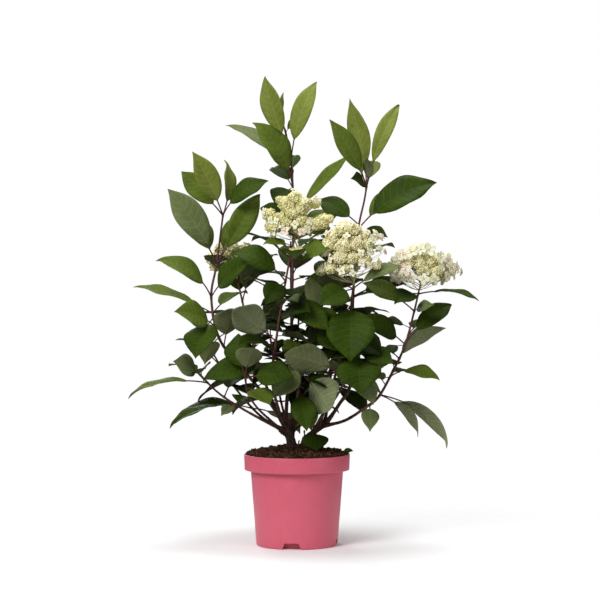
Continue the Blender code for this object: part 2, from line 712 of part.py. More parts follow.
def build_trunk(name, trunk, stems, collection, material):
    """A trunk from its flat cut to its fork, with the stub of every stem that leaves it."""
    line = trunk["line"]
    obj = tube(f"trunk_{name}", line, 0.0, line.length, (trunk["foot"], trunk["fork"]), collection, 8)
    foot = line.points[0].z * MM
    for vert in obj.data.vertices:
        if vert.co.z < foot + 0.002:
            vert.co.z = foot
    parts = new_collection(f"stubs_{name}")
    for stem_name, stem in stems.items():
        if stem["trunk"] == name:
            radii = (stem_radius(stem, 0) * STUB_FLARE, stem_radius(stem, STUB))
            tube(f"stub_{stem_name}", stem["line"], 0.0, STUB, radii, parts)
    add_boolean(obj, "UNION", group=parts)
    apply_modifiers(obj)
    drop_collection(parts)
    finish(obj, material)
    return obj


def fuse_shoot(obj, name, leaves, material):
    parts = new_collection(f"leaves_{name}")
    for index, leaf in enumerate(leaves):
        mesh_object(f"leaf_{index}", leaf_mesh(leaf), parts)
    add_boolean(obj, "UNION", group=parts)
    apply_modifiers(obj)
    drop_collection(parts)
    finish(obj, material)


def build_plant(collection, materials, ground):
    trunks, stems = plan_stems(ground)
    solids = {}
    for name, trunk in trunks.items():
        solids[f"trunk_{name}"] = build_trunk(name, trunk, stems, collection, materials["bark"])
    shoots = {}
    for name, stem in stems.items():
        line = stem["line"]
        ends = (STUB + GAP, stem["bare"])
        radii = [stem_radius(stem, distance) for distance in ends]
        solids[f"bough_{name}"] = tube(f"bough_{name}", line, *ends, radii, collection)
        finish(solids[f"bough_{name}"], materials["stem"])
        ends = (stem["bare"] + GAP, line.length)
        radii = [stem_radius(stem, distance) for distance in ends]
        shoots[name] = tube(f"shoot_{name}", line, *ends, radii, collection)
    for number, (name, (axis, height, spread)) in enumerate(HEADS.items()):
        foot, along = stems[name]["line"].at(stems[name]["line"].length)
        head = {"foot": foot, "along": along, "axis": axis, "height": height, "spread": spread}
        solids[f"head_{name}"] = build_head(name, head, number, collection, materials["blossom"])
    placed = {name: tree_of(obj) for name, obj in {**solids, **shoots}.items()}
    grown = {}
    for number, (name, stem) in enumerate(stems.items()):
        others = [tree for other, tree in placed.items() if other != name]
        others += [tree for other, (_, trees) in grown.items() for tree in trees]
        own = [placed[name]]
        leaves = grow_shoot(name, stem, number, others, own)
        grown[name] = (leaves, own[1:])
        print(f"{name}: {len(leaves)} leaves")
    for name, (leaves, _) in grown.items():
        fuse_shoot(shoots[name], name, leaves, materials["leaf"])


def main():
    remove_everything()
    collection = new_collection("panicle_hydrangea_in_pot")
    materials = {
        "pot": new_material("pink_plastic", PINK, 0.38),
        "soil": new_material("soil", SOIL_BROWN, 0.95),
        "bark": new_material("bark", BARK_BROWN, 0.85),
        "stem": new_material("stem", STEM_RED, 0.6),
        "leaf": new_material("leaf", LEAF_GREEN, 0.5),
        "blossom": new_material("blossom", CREAM, 0.7),
    }
    build_pot(collection, materials["pot"])
    ground = build_soil(collection, materials["soil"])
    build_plant(collection, materials, ground)


main()
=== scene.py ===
# %% [markdown]
# # A panicle hydrangea in its pink nursery pot
#
# The imported model gives every stem, leaf mass and flower head as a plain solid. This lesson keeps
# their places and sizes, and grows the living plant over them: bark, twigs, veined blades, buds and
# sepals, crumbly soil and a moulded pot. Each cell makes one thing, and the text above it says why.
#
# The frame has to be loaded before anything else. The box of the bare model is kept, and it is printed
# beside the box of the finished plant at the end.

# %% Load the imported model
import math
import random

import bmesh
import bpy
from mathutils import Matrix, Vector, noise
from mathutils.bvhtree import BVHTree


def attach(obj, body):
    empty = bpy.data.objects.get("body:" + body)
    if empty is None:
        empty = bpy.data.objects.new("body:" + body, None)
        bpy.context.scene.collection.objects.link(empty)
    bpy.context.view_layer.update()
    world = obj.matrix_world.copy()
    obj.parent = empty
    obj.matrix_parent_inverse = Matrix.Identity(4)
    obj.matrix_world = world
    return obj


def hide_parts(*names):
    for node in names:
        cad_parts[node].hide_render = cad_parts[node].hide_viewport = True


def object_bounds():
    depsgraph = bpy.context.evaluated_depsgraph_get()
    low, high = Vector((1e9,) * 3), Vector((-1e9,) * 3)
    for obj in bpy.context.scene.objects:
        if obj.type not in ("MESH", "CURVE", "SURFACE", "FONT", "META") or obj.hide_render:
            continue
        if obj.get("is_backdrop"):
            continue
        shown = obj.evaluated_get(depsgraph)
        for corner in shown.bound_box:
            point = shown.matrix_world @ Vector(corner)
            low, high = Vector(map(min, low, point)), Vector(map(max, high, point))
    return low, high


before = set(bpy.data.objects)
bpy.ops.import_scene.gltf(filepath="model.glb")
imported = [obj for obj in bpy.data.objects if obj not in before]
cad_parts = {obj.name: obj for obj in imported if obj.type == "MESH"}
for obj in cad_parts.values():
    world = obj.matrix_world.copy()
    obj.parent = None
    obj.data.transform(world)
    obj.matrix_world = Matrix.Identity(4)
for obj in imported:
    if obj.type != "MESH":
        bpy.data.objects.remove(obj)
cad_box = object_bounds()
scene = bpy.context.scene
MM = 0.001
print("nodes in the frame:", len(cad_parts))

# %% [markdown]
# ## The photographer's set
#
# A cut-out catalogue picture has a white ground, a large soft light from the upper left, a weaker one
# from the right, and two more from above and behind, so that no leaf goes black. The camera stands three
# metres away, level and at half the plant's height, with a long lens. So the pot's rim shows as a flat
# ellipse. Standard view keeps the colours as typed.
# The background is white only for the camera: the leaves see a dim room instead, because a white room
# would lie on every leaf as a grey veil. A Light Path node tells the two kinds of ray apart.

# %% Camera
CAMERA_PLACE = (0.0054, -3.0, 0.438)
VIEW_WIDTH_DEG = 20.36

camera_data = bpy.data.cameras.new("camera")
camera_data.sensor_fit = "HORIZONTAL"
camera_data.angle = math.radians(VIEW_WIDTH_DEG)
camera = bpy.data.objects.new("camera", camera_data)
camera.location = CAMERA_PLACE
camera.rotation_euler = (math.radians(90), 0, 0)
scene.collection.objects.link(camera)
scene.camera = camera
scene.view_settings.view_transform = "Standard"
print("camera at", CAMERA_PLACE)

# %% Soft lights
LIGHTS = {
    "key": ((-1.5, -2.1, 2.0), 1.5, 78),
    "fill": ((2.3, -1.7, 1.0), 1.6, 16),
    "top": ((0.1, 0.3, 2.4), 1.4, 34),
    "back": ((-0.9, 2.2, 1.4), 1.4, 20),
}
AIM = Vector((0.0, 0.0, 0.42))
WHITE_GROUND = 1.0
DIM_ROOM = 0.30

for name, (place, size, power) in LIGHTS.items():
    light_data = bpy.data.lights.new(name, "AREA")
    light_data.shape = "DISK"
    light_data.size = size
    light_data.energy = power
    light = bpy.data.objects.new(name, light_data)
    light.location = place
    light.rotation_euler = (AIM - Vector(place)).to_track_quat("-Z", "Y").to_euler()
    scene.collection.objects.link(light)

world = bpy.data.worlds.new("studio")
world.use_nodes = True
scene.world = world
seen = world.node_tree.nodes.new("ShaderNodeLightPath").outputs["Is Camera Ray"]
strength = world.node_tree.nodes.new("ShaderNodeMapRange")
strength.inputs["To Min"].default_value = DIM_ROOM
strength.inputs["To Max"].default_value = WHITE_GROUND
ground = world.node_tree.nodes["Background"]
ground.inputs["Color"].default_value = (1, 1, 1, 1)
world.node_tree.links.new(seen, strength.inputs["Value"])
world.node_tree.links.new(strength.outputs["Result"], ground.inputs["Strength"])
print("lights:", ", ".join(LIGHTS))

# %% [markdown]
# ## Helpers for shader nodes
#
# Every finish here is made of nodes, so a few small helpers save much typing. They add a node and fill
# its sockets, place a shared group, start a material, start a group, and link a finished colour, relief
# and roughness to the shader. They hide nothing: each call still names Blender's own node. One more
# helper puts a bmesh in the scene as an object.

# %% Node helpers
def add(tree, kind, inputs=None, **options):
    """Adds a node, sets its options, then links or sets each named or numbered input."""
    node = tree.nodes.new(kind)
    for option, value in options.items():
        setattr(node, option, value)
    for socket, value in (inputs or {}).items():
        if isinstance(value, bpy.types.NodeSocket):
            tree.links.new(value, node.inputs[socket])
        else:
            node.inputs[socket].default_value = value
    return node


def use(tree, group, inputs):
    """Places a node group in a material, with its own values."""
    return add(tree, "ShaderNodeGroup", inputs, node_tree=group)


print("node helpers:", add.__name__, use.__name__)

# %% Material helpers
def start_material(name, attribute=None):
    """A new material, its node tree, its shader, and the position on the object or in an attribute."""
    material = bpy.data.materials.new(name)
    material.use_nodes = True
    tree = material.node_tree
    if attribute:
        place = add(tree, "ShaderNodeAttribute", attribute_name=attribute).outputs["Vector"]
    else:
        place = add(tree, "ShaderNodeTexCoord").outputs["Object"]
    return material, tree, tree.nodes["Principled BSDF"], place


def finish_material(tree, shader, colour, roughness, height=None, strength=0.0, depth=0.0):
    """Links the colour, and a height through a Bump node. Roughness is a link or a plain number."""
    tree.links.new(colour, shader.inputs["Base Color"])
    if isinstance(roughness, bpy.types.NodeSocket):
        tree.links.new(roughness, shader.inputs["Roughness"])
    else:
        shader.inputs["Roughness"].default_value = roughness
    if height is not None:
        bump = add(tree, "ShaderNodeBump", {"Height": height, "Strength": strength, "Distance": depth})
        tree.links.new(bump.outputs["Normal"], shader.inputs["Normal"])


def between(tree, share, first, second):
    """A colour between two others, each a link or red, green and blue."""
    ends = [end if isinstance(end, bpy.types.NodeSocket) else (*end, 1) for end in (first, second)]
    return add(tree, "ShaderNodeMix", {0: share, 6: ends[0], 7: ends[1]}, data_type="RGBA").outputs[2]


print("material helpers:", start_material.__name__, finish_material.__name__, between.__name__)

# %% Helpers for groups and objects
def start_group(name, inputs, outputs):
    """A shader node group with named sockets: a dictionary of name to (socket kind, first value)."""
    group = bpy.data.node_groups.new(name, "ShaderNodeTree")
    for socket, (kind, value) in inputs.items():
        made = group.interface.new_socket(socket, in_out="INPUT", socket_type=kind)
        if value is not None:
            made.default_value = value
    for socket, kind in outputs.items():
        group.interface.new_socket(socket, in_out="OUTPUT", socket_type=kind)
    return group, group.nodes.new("NodeGroupInput"), group.nodes.new("NodeGroupOutput")


def make_object(name, bm):
    """Puts a finished bmesh in the scene as an object at the origin."""
    mesh = bpy.data.meshes.new(name)
    bm.to_mesh(mesh)
    bm.free()
    made = bpy.data.objects.new(name, mesh)
    scene.collection.objects.link(made)
    return made


FLOAT, COLOUR, VECTOR = "NodeSocketFloat", "NodeSocketColor", "NodeSocketVector"
print("socket kinds:", FLOAT, COLOUR, VECTOR)

# %% [markdown]
# ## Shared effects
#
# Nothing that grows has one even colour. *Mottle* blends two colours by a coarse and a fine noise,
# and the leaves, bark, soil and flowers all use it with their own values. *Grain* gives a height for
# the Bump node from noise that can be stretched along one axis. *Specks* is a mask of small spots, for
# dust on the pot and pores on the stems. *Net* is the mesh of the finest veins: the borders between
# Voronoi cells, a little lower than the cells themselves. Each material could hold its own copy of these
# nodes, but a group is built once and can be mended in one place.

# %% Group: mottle
def make_mottle():
    group, given, result = start_group(
        "mottle",
        {"Position": (VECTOR, None), "Scale": (FLOAT, 20.0), "Contrast": (FLOAT, 0.6),
         "Dark": (COLOUR, (0, 0, 0, 1)), "Light": (COLOUR, (1, 1, 1, 1))},
        {"Colour": COLOUR, "Mask": FLOAT},
    )
    coarse = add(group, "ShaderNodeTexNoise", {
        "Vector": given.outputs["Position"], "Scale": given.outputs["Scale"], "Detail": 3.0})
    finer = add(group, "ShaderNodeMath", {0: given.outputs["Scale"], 1: 6.3}, operation="MULTIPLY")
    fine = add(group, "ShaderNodeTexNoise", {
        "Vector": given.outputs["Position"], "Scale": finer.outputs[0], "Detail": 2.0})
    both = add(group, "ShaderNodeMix", {0: 0.32, 2: coarse.outputs["Fac"], 3: fine.outputs["Fac"]})
    low = add(group, "ShaderNodeMath", {0: given.outputs["Contrast"], 1: -0.5, 2: 0.5},
              operation="MULTIPLY_ADD")
    high = add(group, "ShaderNodeMath", {0: given.outputs["Contrast"], 1: 0.5, 2: 0.5},
               operation="MULTIPLY_ADD")
    spread = add(group, "ShaderNodeMapRange", {
        "Value": both.outputs[0], "From Min": 0.3, "From Max": 0.7,
        "To Min": low.outputs[0], "To Max": high.outputs[0]})
    blend = between(group, spread.outputs[0], given.outputs["Dark"], given.outputs["Light"])
    group.links.new(blend, result.inputs["Colour"])
    group.links.new(spread.outputs[0], result.inputs["Mask"])
    return group


MOTTLE = make_mottle()
print("group:", MOTTLE.name)

# %% Groups: grain, specks and net
def make_grain():
    group, given, result = start_group(
        "grain",
        {"Position": (VECTOR, None), "Scale": (FLOAT, 200.0), "Stretch": (VECTOR, (1, 1, 1))},
        {"Height": FLOAT},
    )
    drawn = add(group, "ShaderNodeVectorMath", {
        0: given.outputs["Position"], 1: given.outputs["Stretch"]}, operation="MULTIPLY")
    grain = add(group, "ShaderNodeTexNoise", {
        "Vector": drawn.outputs[0], "Scale": given.outputs["Scale"], "Detail": 5.0, "Roughness": 0.62})
    group.links.new(grain.outputs["Fac"], result.inputs["Height"])
    return group


def make_specks():
    group, given, result = start_group(
        "specks",
        {"Position": (VECTOR, None), "Scale": (FLOAT, 300.0), "Amount": (FLOAT, 0.2)},
        {"Mask": FLOAT},
    )
    spots = add(group, "ShaderNodeTexNoise", {
        "Vector": given.outputs["Position"], "Scale": given.outputs["Scale"], "Detail": 1.0})
    edge = add(group, "ShaderNodeMath", {0: 0.78, 1: given.outputs["Amount"]}, operation="SUBTRACT")
    past = add(group, "ShaderNodeMath", {0: edge.outputs[0], 1: 0.06}, operation="ADD")
    mask = add(group, "ShaderNodeMapRange", {
        "Value": spots.outputs["Fac"], "From Min": edge.outputs[0], "From Max": past.outputs[0]})
    group.links.new(mask.outputs[0], result.inputs["Mask"])
    return group


def make_net():
    group, given, result = start_group(
        "net", {"Position": (VECTOR, None), "Scale": (FLOAT, 420.0)}, {"Height": FLOAT, "Lines": FLOAT})
    cells = add(group, "ShaderNodeTexVoronoi", {
        "Vector": given.outputs["Position"], "Scale": given.outputs["Scale"]},
        feature="DISTANCE_TO_EDGE")
    rounded = add(group, "ShaderNodeMapRange", {
        "Value": cells.outputs["Distance"], "From Max": 0.22}, interpolation_type="SMOOTHSTEP")
    lines = add(group, "ShaderNodeMapRange", {
        "Value": cells.outputs["Distance"], "From Max": 0.07, "To Min": 1.0, "To Max": 0.0})
    group.links.new(rounded.outputs[0], result.inputs["Height"])
    group.links.new(lines.outputs[0], result.inputs["Lines"])
    return group


GRAIN, SPECKS, NET = make_grain(), make_specks(), make_net()
print("groups:", GRAIN.name, SPECKS.name, NET.name)

# %% [markdown]
# ## The floor
#
# A plain pale sheet under the pot catches its soft shadow, which the white ground alone can't do.
# Towards its edge it turns transparent, so that no horizon crosses the ground behind the stems. It is
# marked as part of the stage, so it never counts as part of the object. Half a millimetre of air keeps
# it clear of the pot's foot.

# %% Floor
FLOOR_SIZE = 1.1
FLOOR_BELOW = 0.5 * MM
FADE = (0.16, 0.75)


def make_floor():
    bm = bmesh.new()
    bmesh.ops.create_grid(bm, x_segments=1, y_segments=1, size=FLOOR_SIZE)
    bmesh.ops.translate(bm, verts=bm.verts, vec=(0, 0, -FLOOR_BELOW))
    floor = make_object("floor", bm)
    material, tree, shader, place = start_material("floor_paper")
    paper = use(tree, MOTTLE, {"Position": place, "Scale": 3.0, "Contrast": 0.5,
                               "Dark": (0.90, 0.90, 0.90, 1), "Light": (0.93, 0.93, 0.93, 1)})
    away = add(tree, "ShaderNodeVectorMath", {0: place}, operation="LENGTH")
    fade = add(tree, "ShaderNodeMapRange", {
        "Value": away.outputs["Value"], "From Min": FADE[0], "From Max": FADE[1],
        "To Min": 1.0, "To Max": 0.0}, interpolation_type="SMOOTHSTEP")
    finish_material(tree, shader, paper.outputs["Colour"], roughness=0.9)
    tree.links.new(fade.outputs["Result"], shader.inputs["Alpha"])
    floor.data.materials.append(material)
    floor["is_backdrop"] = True


make_floor()
print("floor ready")

# %% [markdown]
# ## Sizes that the model is drawn from
#
# The dressed plant has to grow exactly where the solids stand. So the sizes of the pot, the lines of
# the stems and the chart of the leaves that show in front are repeated here, in millimetres.

# %% Sizes of the pot, the soil and the leaves
POT_HEIGHT = 162.0
RIM_RADIUS = 95.0
RIM_DEPTH = 28.0
RIM_TAPER = 1.0
EDGE_ROUNDING = 1.3
SHOULDER_RADIUS = 83.0
BASE_RADIUS = 73.0
WALL = 1.8
LEDGE_EXTRA = 1.2
ALCOVE_COUNT = 4
ALCOVE_HEIGHT = 11.0
ALCOVE_TOP_WIDTH = 25.0
ALCOVE_FOOT_WIDTH = 38.0
ALCOVE_REACH = 15.0
ALCOVE_TURN = -97.5
GROUND = 174.0
GAP = 0.3
TIP_RADIUS = 1.7
STALK_RADIUS = 1.35
STALK_SHARE = 0.24
LEAF_FOLD = 0.16
LEAF_ARCH = 0.09
SWINGS = (0, 8, -8, 16, -16, 24, -24, 32, -32)
LIFTS = (0, 12, -12, 24, -24)
print("pot:", POT_HEIGHT, "mm high and", 2 * RIM_RADIUS, "mm across its rim")

# %% Lines of the trunks and stems
TRUNKS = {
    "left": (((-9, -2, 0), (-12, -2, 14), (-20, -1, 34)), 9.2, 6.8),
    "right": (((10, -5, 0), (16, -4, 14), (32, 0, 28), (52, 2, 42)), 6.2, 4.6),
    "back": (((-10, 18, 0), (-11, 23, 16), (-8, 31, 36)), 7.4, 5.4),
}
STEMS = {
    "left_tall": ("left", 0.95, ((-54, -8, 262), (-103, -22, 322), (-139, -25, 371),
                                (-153, -18, 443), (-144, -8, 502), (-133, 0, 590)), 3.3, 128),
    "centre_tall": ("left", 1.0, ((-18, 12, 259), (-11, 22, 310), (-9, 36, 439),
                                  (-7, 40, 547), (-8, 40, 650), (-14, 38, 709), (-22, 35, 748)), 3.6, 205),
    "front_upright": ("left", 0.75, ((-34, -30, 248), (-44, -46, 300), (-38, -55, 358),
                                     (-25, -62, 441), (-13, -62, 508), (-5, -60, 541)), 2.9, 118),
    "low_left": ("left", 0.7, ((-56, 6, 219), (-103, 7, 245), (-142, 0, 272),
                               (-178, -5, 308)), 2.8, 78),
    "inner_left": ("left", 0.6, ((-50, -22, 226), (-72, -50, 250), (-86, -76, 276),
                                 (-90, -94, 304)), 2.4, 66),
    "front_middle": ("left", 0.95, ((-5, -24, 240), (2, -40, 275), (10, -54, 320),
                                    (27, -68, 400)), 2.4, 60),
    "right_tall": ("right", 1.0, ((74, 12, 247), (99, 22, 295), (101, 30, 418),
                                  (108, 30, 547), (122, 26, 619), (126, 24, 645)), 3.4, 190),
    "middle_upright": ("right", 0.7, ((52, -16, 250), (72, -44, 320), (90, -64, 395),
                                      (99, -72, 464)), 2.8, 120),
    "right_side": ("right", 0.85, ((86, -4, 222), (122, -8, 245), (146, -12, 265),
                                   (171, -15, 310), (193, -20, 358), (209, -22, 418),
                                   (217, -20, 452)), 3.0, 66),
    "front_right": ("right", 0.5, ((46, -30, 236), (70, -52, 268), (92, -72, 315),
                                   (100, -82, 352)), 2.4, 62),
}
BACK_STEMS = {
    "back_left": ("back", 1.0, 134, 150, 478, 3.0, 110),
    "back_right": ("back", 0.9, 52, 140, 500, 3.0, 115),
    "back_middle": ("back", 0.95, 92, 105, 548, 3.2, 125),
    "back_low_left": ("back", 0.7, 142, 190, 340, 2.6, 88),
    "back_low": ("back", 0.8, 104, 178, 372, 2.6, 86),
    "back_low_right": ("back", 0.65, 58, 182, 384, 2.6, 138),
    "inner_middle": ("back", 0.85, 74, 46, 436, 2.6, 100),
    "inner_right": ("right", 0.9, 58, 42, 412, 2.6, 84),
}
print("stems that show:", len(STEMS), "and behind:", len(BACK_STEMS))

# %% [markdown]
# The chart lists, shoot by shoot, the leaves that face the camera: the height where the stalk leaves
# the stem, how far the tip lies across, back and up from there, how far the upper side is turned
# towards the camera in degrees, the blade's width and, where it bends more than the rest, its arch.
# The other shoots follow a rule: leaves in opposite pairs, each pair turned a quarter against the
# last, shorter and steeper towards the tip.

# %% Chart of the leaves in front
FRONT_LEAVES = {
    "left_tall": (
        (588, -76, 0, 80, 78, 42), (588, -52, -42, 112, 108, 44), (588, 4, 30, 104, 66, 40),
        (586, 83, -20, 62, 55, 46, 0.16), (502, -86, -25, 135, 75, 58), (502, 78, 20, 131, 80, 44),
        (443, -95, -45, 68, 48, 50, 0.16), (438, 76, -50, 66, 62, 58),
        (408, -144, 20, 50, 14, 50, 0.05), (408, 60, 70, 40, 0, 46), (386, -68, -60, 28, 62, 54),
        (400, -28, -72, -70, 0, 60), (366, -29, 60, -49, 0, 40), (352, 24, -70, 70, 0, 56),
        (500, 58, 74, 92, 20, 48), (500, -62, 66, 92, 20, 48),
    ),
    "centre_tall": (
        (640, -72, -35, 119, 70, 58, 0.14), (662, -124, 45, 97, 30, 34, 0.13),
        (640, -37, 74, 46, 10, 44), (664, 4, 78, 44, 0, 26), (688, 48, 10, 151, 60, 38, 0.17),
        (709, -46, -15, 136, 125, 40), (746, -3, 20, 71, 60, 16), (738, 16, -16, 28, 60, 16),
        (584, 104, -15, 112, 50, 32, 0.03), (640, -32, -62, -34, 20, 46), (555, 84, 25, 40, 45, 44),
        (572, -62, 20, 28, 40, 40), (556, 70, 40, 14, 45, 42), (520, 60, 92, 20, 0, 46),
        (520, -78, 74, 26, 0, 46), (470, 66, 80, -4, 0, 48), (470, -70, 78, 10, 0, 48),
    ),
    "front_upright": (
        (441, 81, -60, -56, 40, 50), (470, -34, -60, -40, 30, 42), (365, -76, -45, 58, -60, 58),
        (350, -62, -82, 12, 25, 42), (466, -98, -20, 52, 50, 54, 0.16), (532, -52, -32, 4, 30, 26),
        (500, 72, -40, 26, 50, 46), (520, 8, -88, -12, 0, 40), (430, -62, -40, 44, 10, 30),
        (322, -124, -36, -28, 55, 46), (400, 74, -62, 12, 45, 50), (334, 60, 52, 12, 30, 46),
        (424, -8, -86, 30, 20, 46),
    ),
    "low_left": (
        (288, -144, -15, -23, 8, 46), (248, -118, -30, -38, 8, 44), (246, -27, -45, -14, 20, 24),
        (304, -43, -50, 26, 70, 44), (298, 10, -66, 18, 30, 38), (296, -70, 84, 20, 0, 44),
        (262, 30, 96, 40, 0, 44),
    ),
    "inner_left": (
        (284, 42, -50, -26, 10, 50), (300, 86, -28, 6, 50, 56), (302, 16, -8, 76, 85, 54),
        (304, 12, -60, 54, -10, 46), (262, -20, -82, 0, 5, 42),
    ),
    "front_middle": (
        (304, 50, -40, -66, -90, 76), (280, 14, -62, -72, 10, 44), (388, 66, -60, -44, 40, 54),
        (232, 34, -50, -48, 10, 42), (398, 24, -62, 66, 30, 46), (322, -52, -44, -58, 40, 52),
        (342, 34, 84, 34, 20, 46),
    ),
    "right_tall": (
        (567, -76, 20, 48, 45, 48), (565, 143, -20, 86, 55, 68, 0.14),
        (644, -31, 34, 162, 66, 42, -0.1), (643, 63, 25, 155, 55, 30, 0.17),
        (643, -68, -40, 117, 100, 38), (640, -32, 92, 96, 10, 30), (640, -28, -58, 14, 60, 34),
        (644, 8, -34, 48, 30, 22), (556, 52, -62, -6, 50, 34), (500, 76, 70, 26, 0, 48),
        (500, -64, 82, 22, 0, 48), (440, 96, -20, 24, 35, 50), (450, -86, 30, 20, 40, 50),
        (565, 100, 84, 74, 20, 50), (640, 22, 90, 58, 10, 28),
    ),
    "middle_upright": (
        (456, 86, -22, 40, 40, 36), (456, -75, -45, -28, 45, 50), (462, 2, -66, 24, 0, 28),
        (440, -14, -64, -112, 0, 84), (420, 30, 62, -16, 0, 44), (372, 62, -50, -30, 35, 50),
        (380, -62, -70, 22, 30, 50), (338, 44, -66, 16, 40, 50), (408, -80, -34, 2, 50, 50),
    ),
    "right_side": (
        (448, 108, -15, -11, 8, 46), (446, -46, -66, -16, 25, 42), (418, 30, -56, 12, 70, 22),
        (416, -85, 40, 52, 40, 46), (362, 86, 32, 69, 40, 42), (312, 86, -38, 74, -45, 42, 0.2),
        (358, -88, -50, 48, 60, 50), (306, 83, -28, -13, 25, 42), (266, 122, -34, -92, -60, 32, 0.2),
        (268, 67, -40, -72, -60, 32, 0.16), (250, -2, -62, -42, 5, 32), (330, -40, 96, 10, 0, 46),
        (372, 50, 94, 20, 0, 46), (300, 62, 92, 0, 0, 46),
    ),
    "front_right": (
        (350, 11, -52, -74, 10, 78), (302, -122, -60, 39, -60, 54), (345, 58, -46, -20, 40, 46),
        (318, 40, -40, -62, 20, 44), (348, -40, -86, 30, 20, 46),
    ),
}
print("leaves in the chart:", sum(len(rows) for rows in FRONT_LEAVES.values()))

# %% Rule of the leaves behind
RULE_LENGTH = (132, 108)
RULE_WIDTH_SHARE = 0.43
RULE_RISE = (-14, 56)
RULE_STEEPENING = 1.5
RULE_SPACING = (58, 30)
RULE_SCATTER = 14
RULE_SIZES = (0.88, 1.06)
FIRST_LEAVES = 12
LAST_LEAVES = 4
FIRST_SEED = 21
print("leaves by the rule:", RULE_LENGTH, "mm long from the foot to the tip of a shoot")

# %% [markdown]
# ## Lines and leaves
#
# A stem is a smooth line through a few guide points. Blender's curves could hold it, but the leaves
# have to ask for the point and direction at any distance, and this small class answers that.
# A leaf is a root, a reach to its tip, and the way its upper side faces.

# %% Smooth lines
class Line:
    """A smooth line through guide points, measured along its own length in millimetres."""

    SAMPLES = 10

    def __init__(self, guides):
        guides = [Vector(guide) for guide in guides]
        ends = [2 * guides[0] - guides[1]] + guides + [2 * guides[-1] - guides[-2]]
        self.points = [guides[0]]
        for a, b, c, d in zip(ends, ends[1:], ends[2:], ends[3:]):
            for step in range(1, self.SAMPLES + 1):
                t = step / self.SAMPLES
                turn = b * 2 + (c - a) * t + (a * 2 - b * 5 + c * 4 - d) * t ** 2
                self.points.append((turn + (b * 3 - a - c * 3 + d) * t ** 3) / 2)
        self.marks = [0.0]
        for before, after in zip(self.points, self.points[1:]):
            self.marks.append(self.marks[-1] + (after - before).length)
        self.length = self.marks[-1]

    def at(self, distance):
        """The point and the direction at a distance along the line."""
        index = 1
        while index < len(self.marks) - 1 and self.marks[index] < distance:
            index += 1
        span = self.marks[index] - self.marks[index - 1]
        share = (distance - self.marks[index - 1]) / span
        step = self.points[index] - self.points[index - 1]
        return self.points[index - 1] + step * share, step.normalized()

    def at_height(self, height):
        """The distance at which the line first reaches a height."""
        for index, point in enumerate(self.points):
            if point.z >= height:
                return self.marks[index]
        return self.length


print("a straight line of 10 mm measures:", round(Line(((0, 0, 0), (0, 0, 10))).length, 3))

# %% Plan of the stems
TAPER_BEND = 0.8
BACK_GUIDES = (0.0, 0.2, 0.5, 0.8, 1.0)
BACK_SPREADING = 0.7
BACK_RISING = 1.25


def level(bearing):
    """The level direction of a bearing in radians."""
    return Vector((math.cos(bearing), math.sin(bearing), 0))


def stem_radius(stem, distance):
    """A stem gets thinner along its way, and all of them end in the same fine tip."""
    share = distance / stem["line"].length
    return stem["radius"] + (TIP_RADIUS - stem["radius"]) * share ** TAPER_BEND


def plan_stems():
    trunks = {}
    for name, (guides, foot, fork) in TRUNKS.items():
        line = Line([(x, y, GROUND + GAP + z) for x, y, z in guides])
        trunks[name] = {"line": line, "foot": foot, "fork": fork}
    stems = {}
    for name, (trunk, share, guides, radius, bare) in STEMS.items():
        start = trunks[trunk]["line"].at(trunks[trunk]["line"].length * share)[0]
        stems[name] = {"trunk": trunk, "line": Line([start, *guides]), "radius": radius, "bare": bare}
    for name, (trunk, share, bearing, spread, height, radius, bare) in BACK_STEMS.items():
        start = trunks[trunk]["line"].at(trunks[trunk]["line"].length * share)[0]
        out = level(math.radians(bearing))
        rise = Vector((0, 0, height - start.z))
        guides = [start + out * (spread * f ** BACK_SPREADING) + rise * f ** BACK_RISING
                  for f in BACK_GUIDES]
        stems[name] = {"trunk": trunk, "line": Line(guides), "radius": radius, "bare": bare}
    return trunks, stems


trunks, stems = plan_stems()
print("trunks:", len(trunks), "stems:", len(stems))

# %% Leaf lines
LEAF_MIDDLE = 0.6
OUTLINE_BEND = 0.9
SOLID_POWER = 0.85
BLADE_POWER = (0.78, 0.42)
BLADE_FOOT = 0.9


class Leaf:
    """A stalked blade from its root on the stem to its tip."""

    def __init__(self, root, reach, face, width, arch=LEAF_ARCH):
        self.root = root
        self.reach = reach
        self.width = width
        self.bow = arch * reach.length
        along = reach.normalized()
        upper = (Vector((0, 0, 1)) - along * along.z).normalized()
        aside = along.cross(upper)
        if aside.y > 0:
            aside.negate()
        self.normal = upper * math.cos(face) + aside * math.sin(face)

    def frame(self, t):
        """The midrib's point, the direction to one side and the upper side's direction at a share."""
        point = self.root + self.reach * t + self.normal * (4 * self.bow * t * (1 - t))
        along = (self.reach + self.normal * (4 * self.bow * (1 - 2 * t))).normalized()
        side = along.cross(self.normal).normalized()
        return point, side, side.cross(along)

    def half_width(self, t):
        """The half width of the plain solid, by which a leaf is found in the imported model."""
        u = (t - STALK_SHARE) / (1 - STALK_SHARE)
        return max(STALK_RADIUS, self.width / 2 * math.sin(math.pi * u ** OUTLINE_BEND) ** SOLID_POWER)

    def blade_half(self, v):
        """The half width of the living blade: rounded at the stalk, drawn out at the tip."""
        if v <= 0.0 or v >= 1.0:
            return BLADE_FOOT * (1.0 - v)
        power = BLADE_POWER[0] + BLADE_POWER[1] * v * v
        return max(BLADE_FOOT * (1 - v), self.width / 2 * math.sin(math.pi * v ** OUTLINE_BEND) ** power)


trial = Leaf(Vector((0, 0, 0)), Vector((100, 0, 0)), 0.0, 50)
print("half width of a leaf 50 mm wide:", round(trial.blade_half(0.5), 2), "mm")

# %% [markdown]
# ## Finding each leaf again
#
# In the solids a leaf that touched its neighbour was swung or lifted a little, or left out. Instead of
# running those tests again, each leaf is tried in the same ways, and the first one whose tip and edges
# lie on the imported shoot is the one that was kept. So blade and solid always agree.

# %% Wanted leaves and tried ways
PAST_BARE = 5


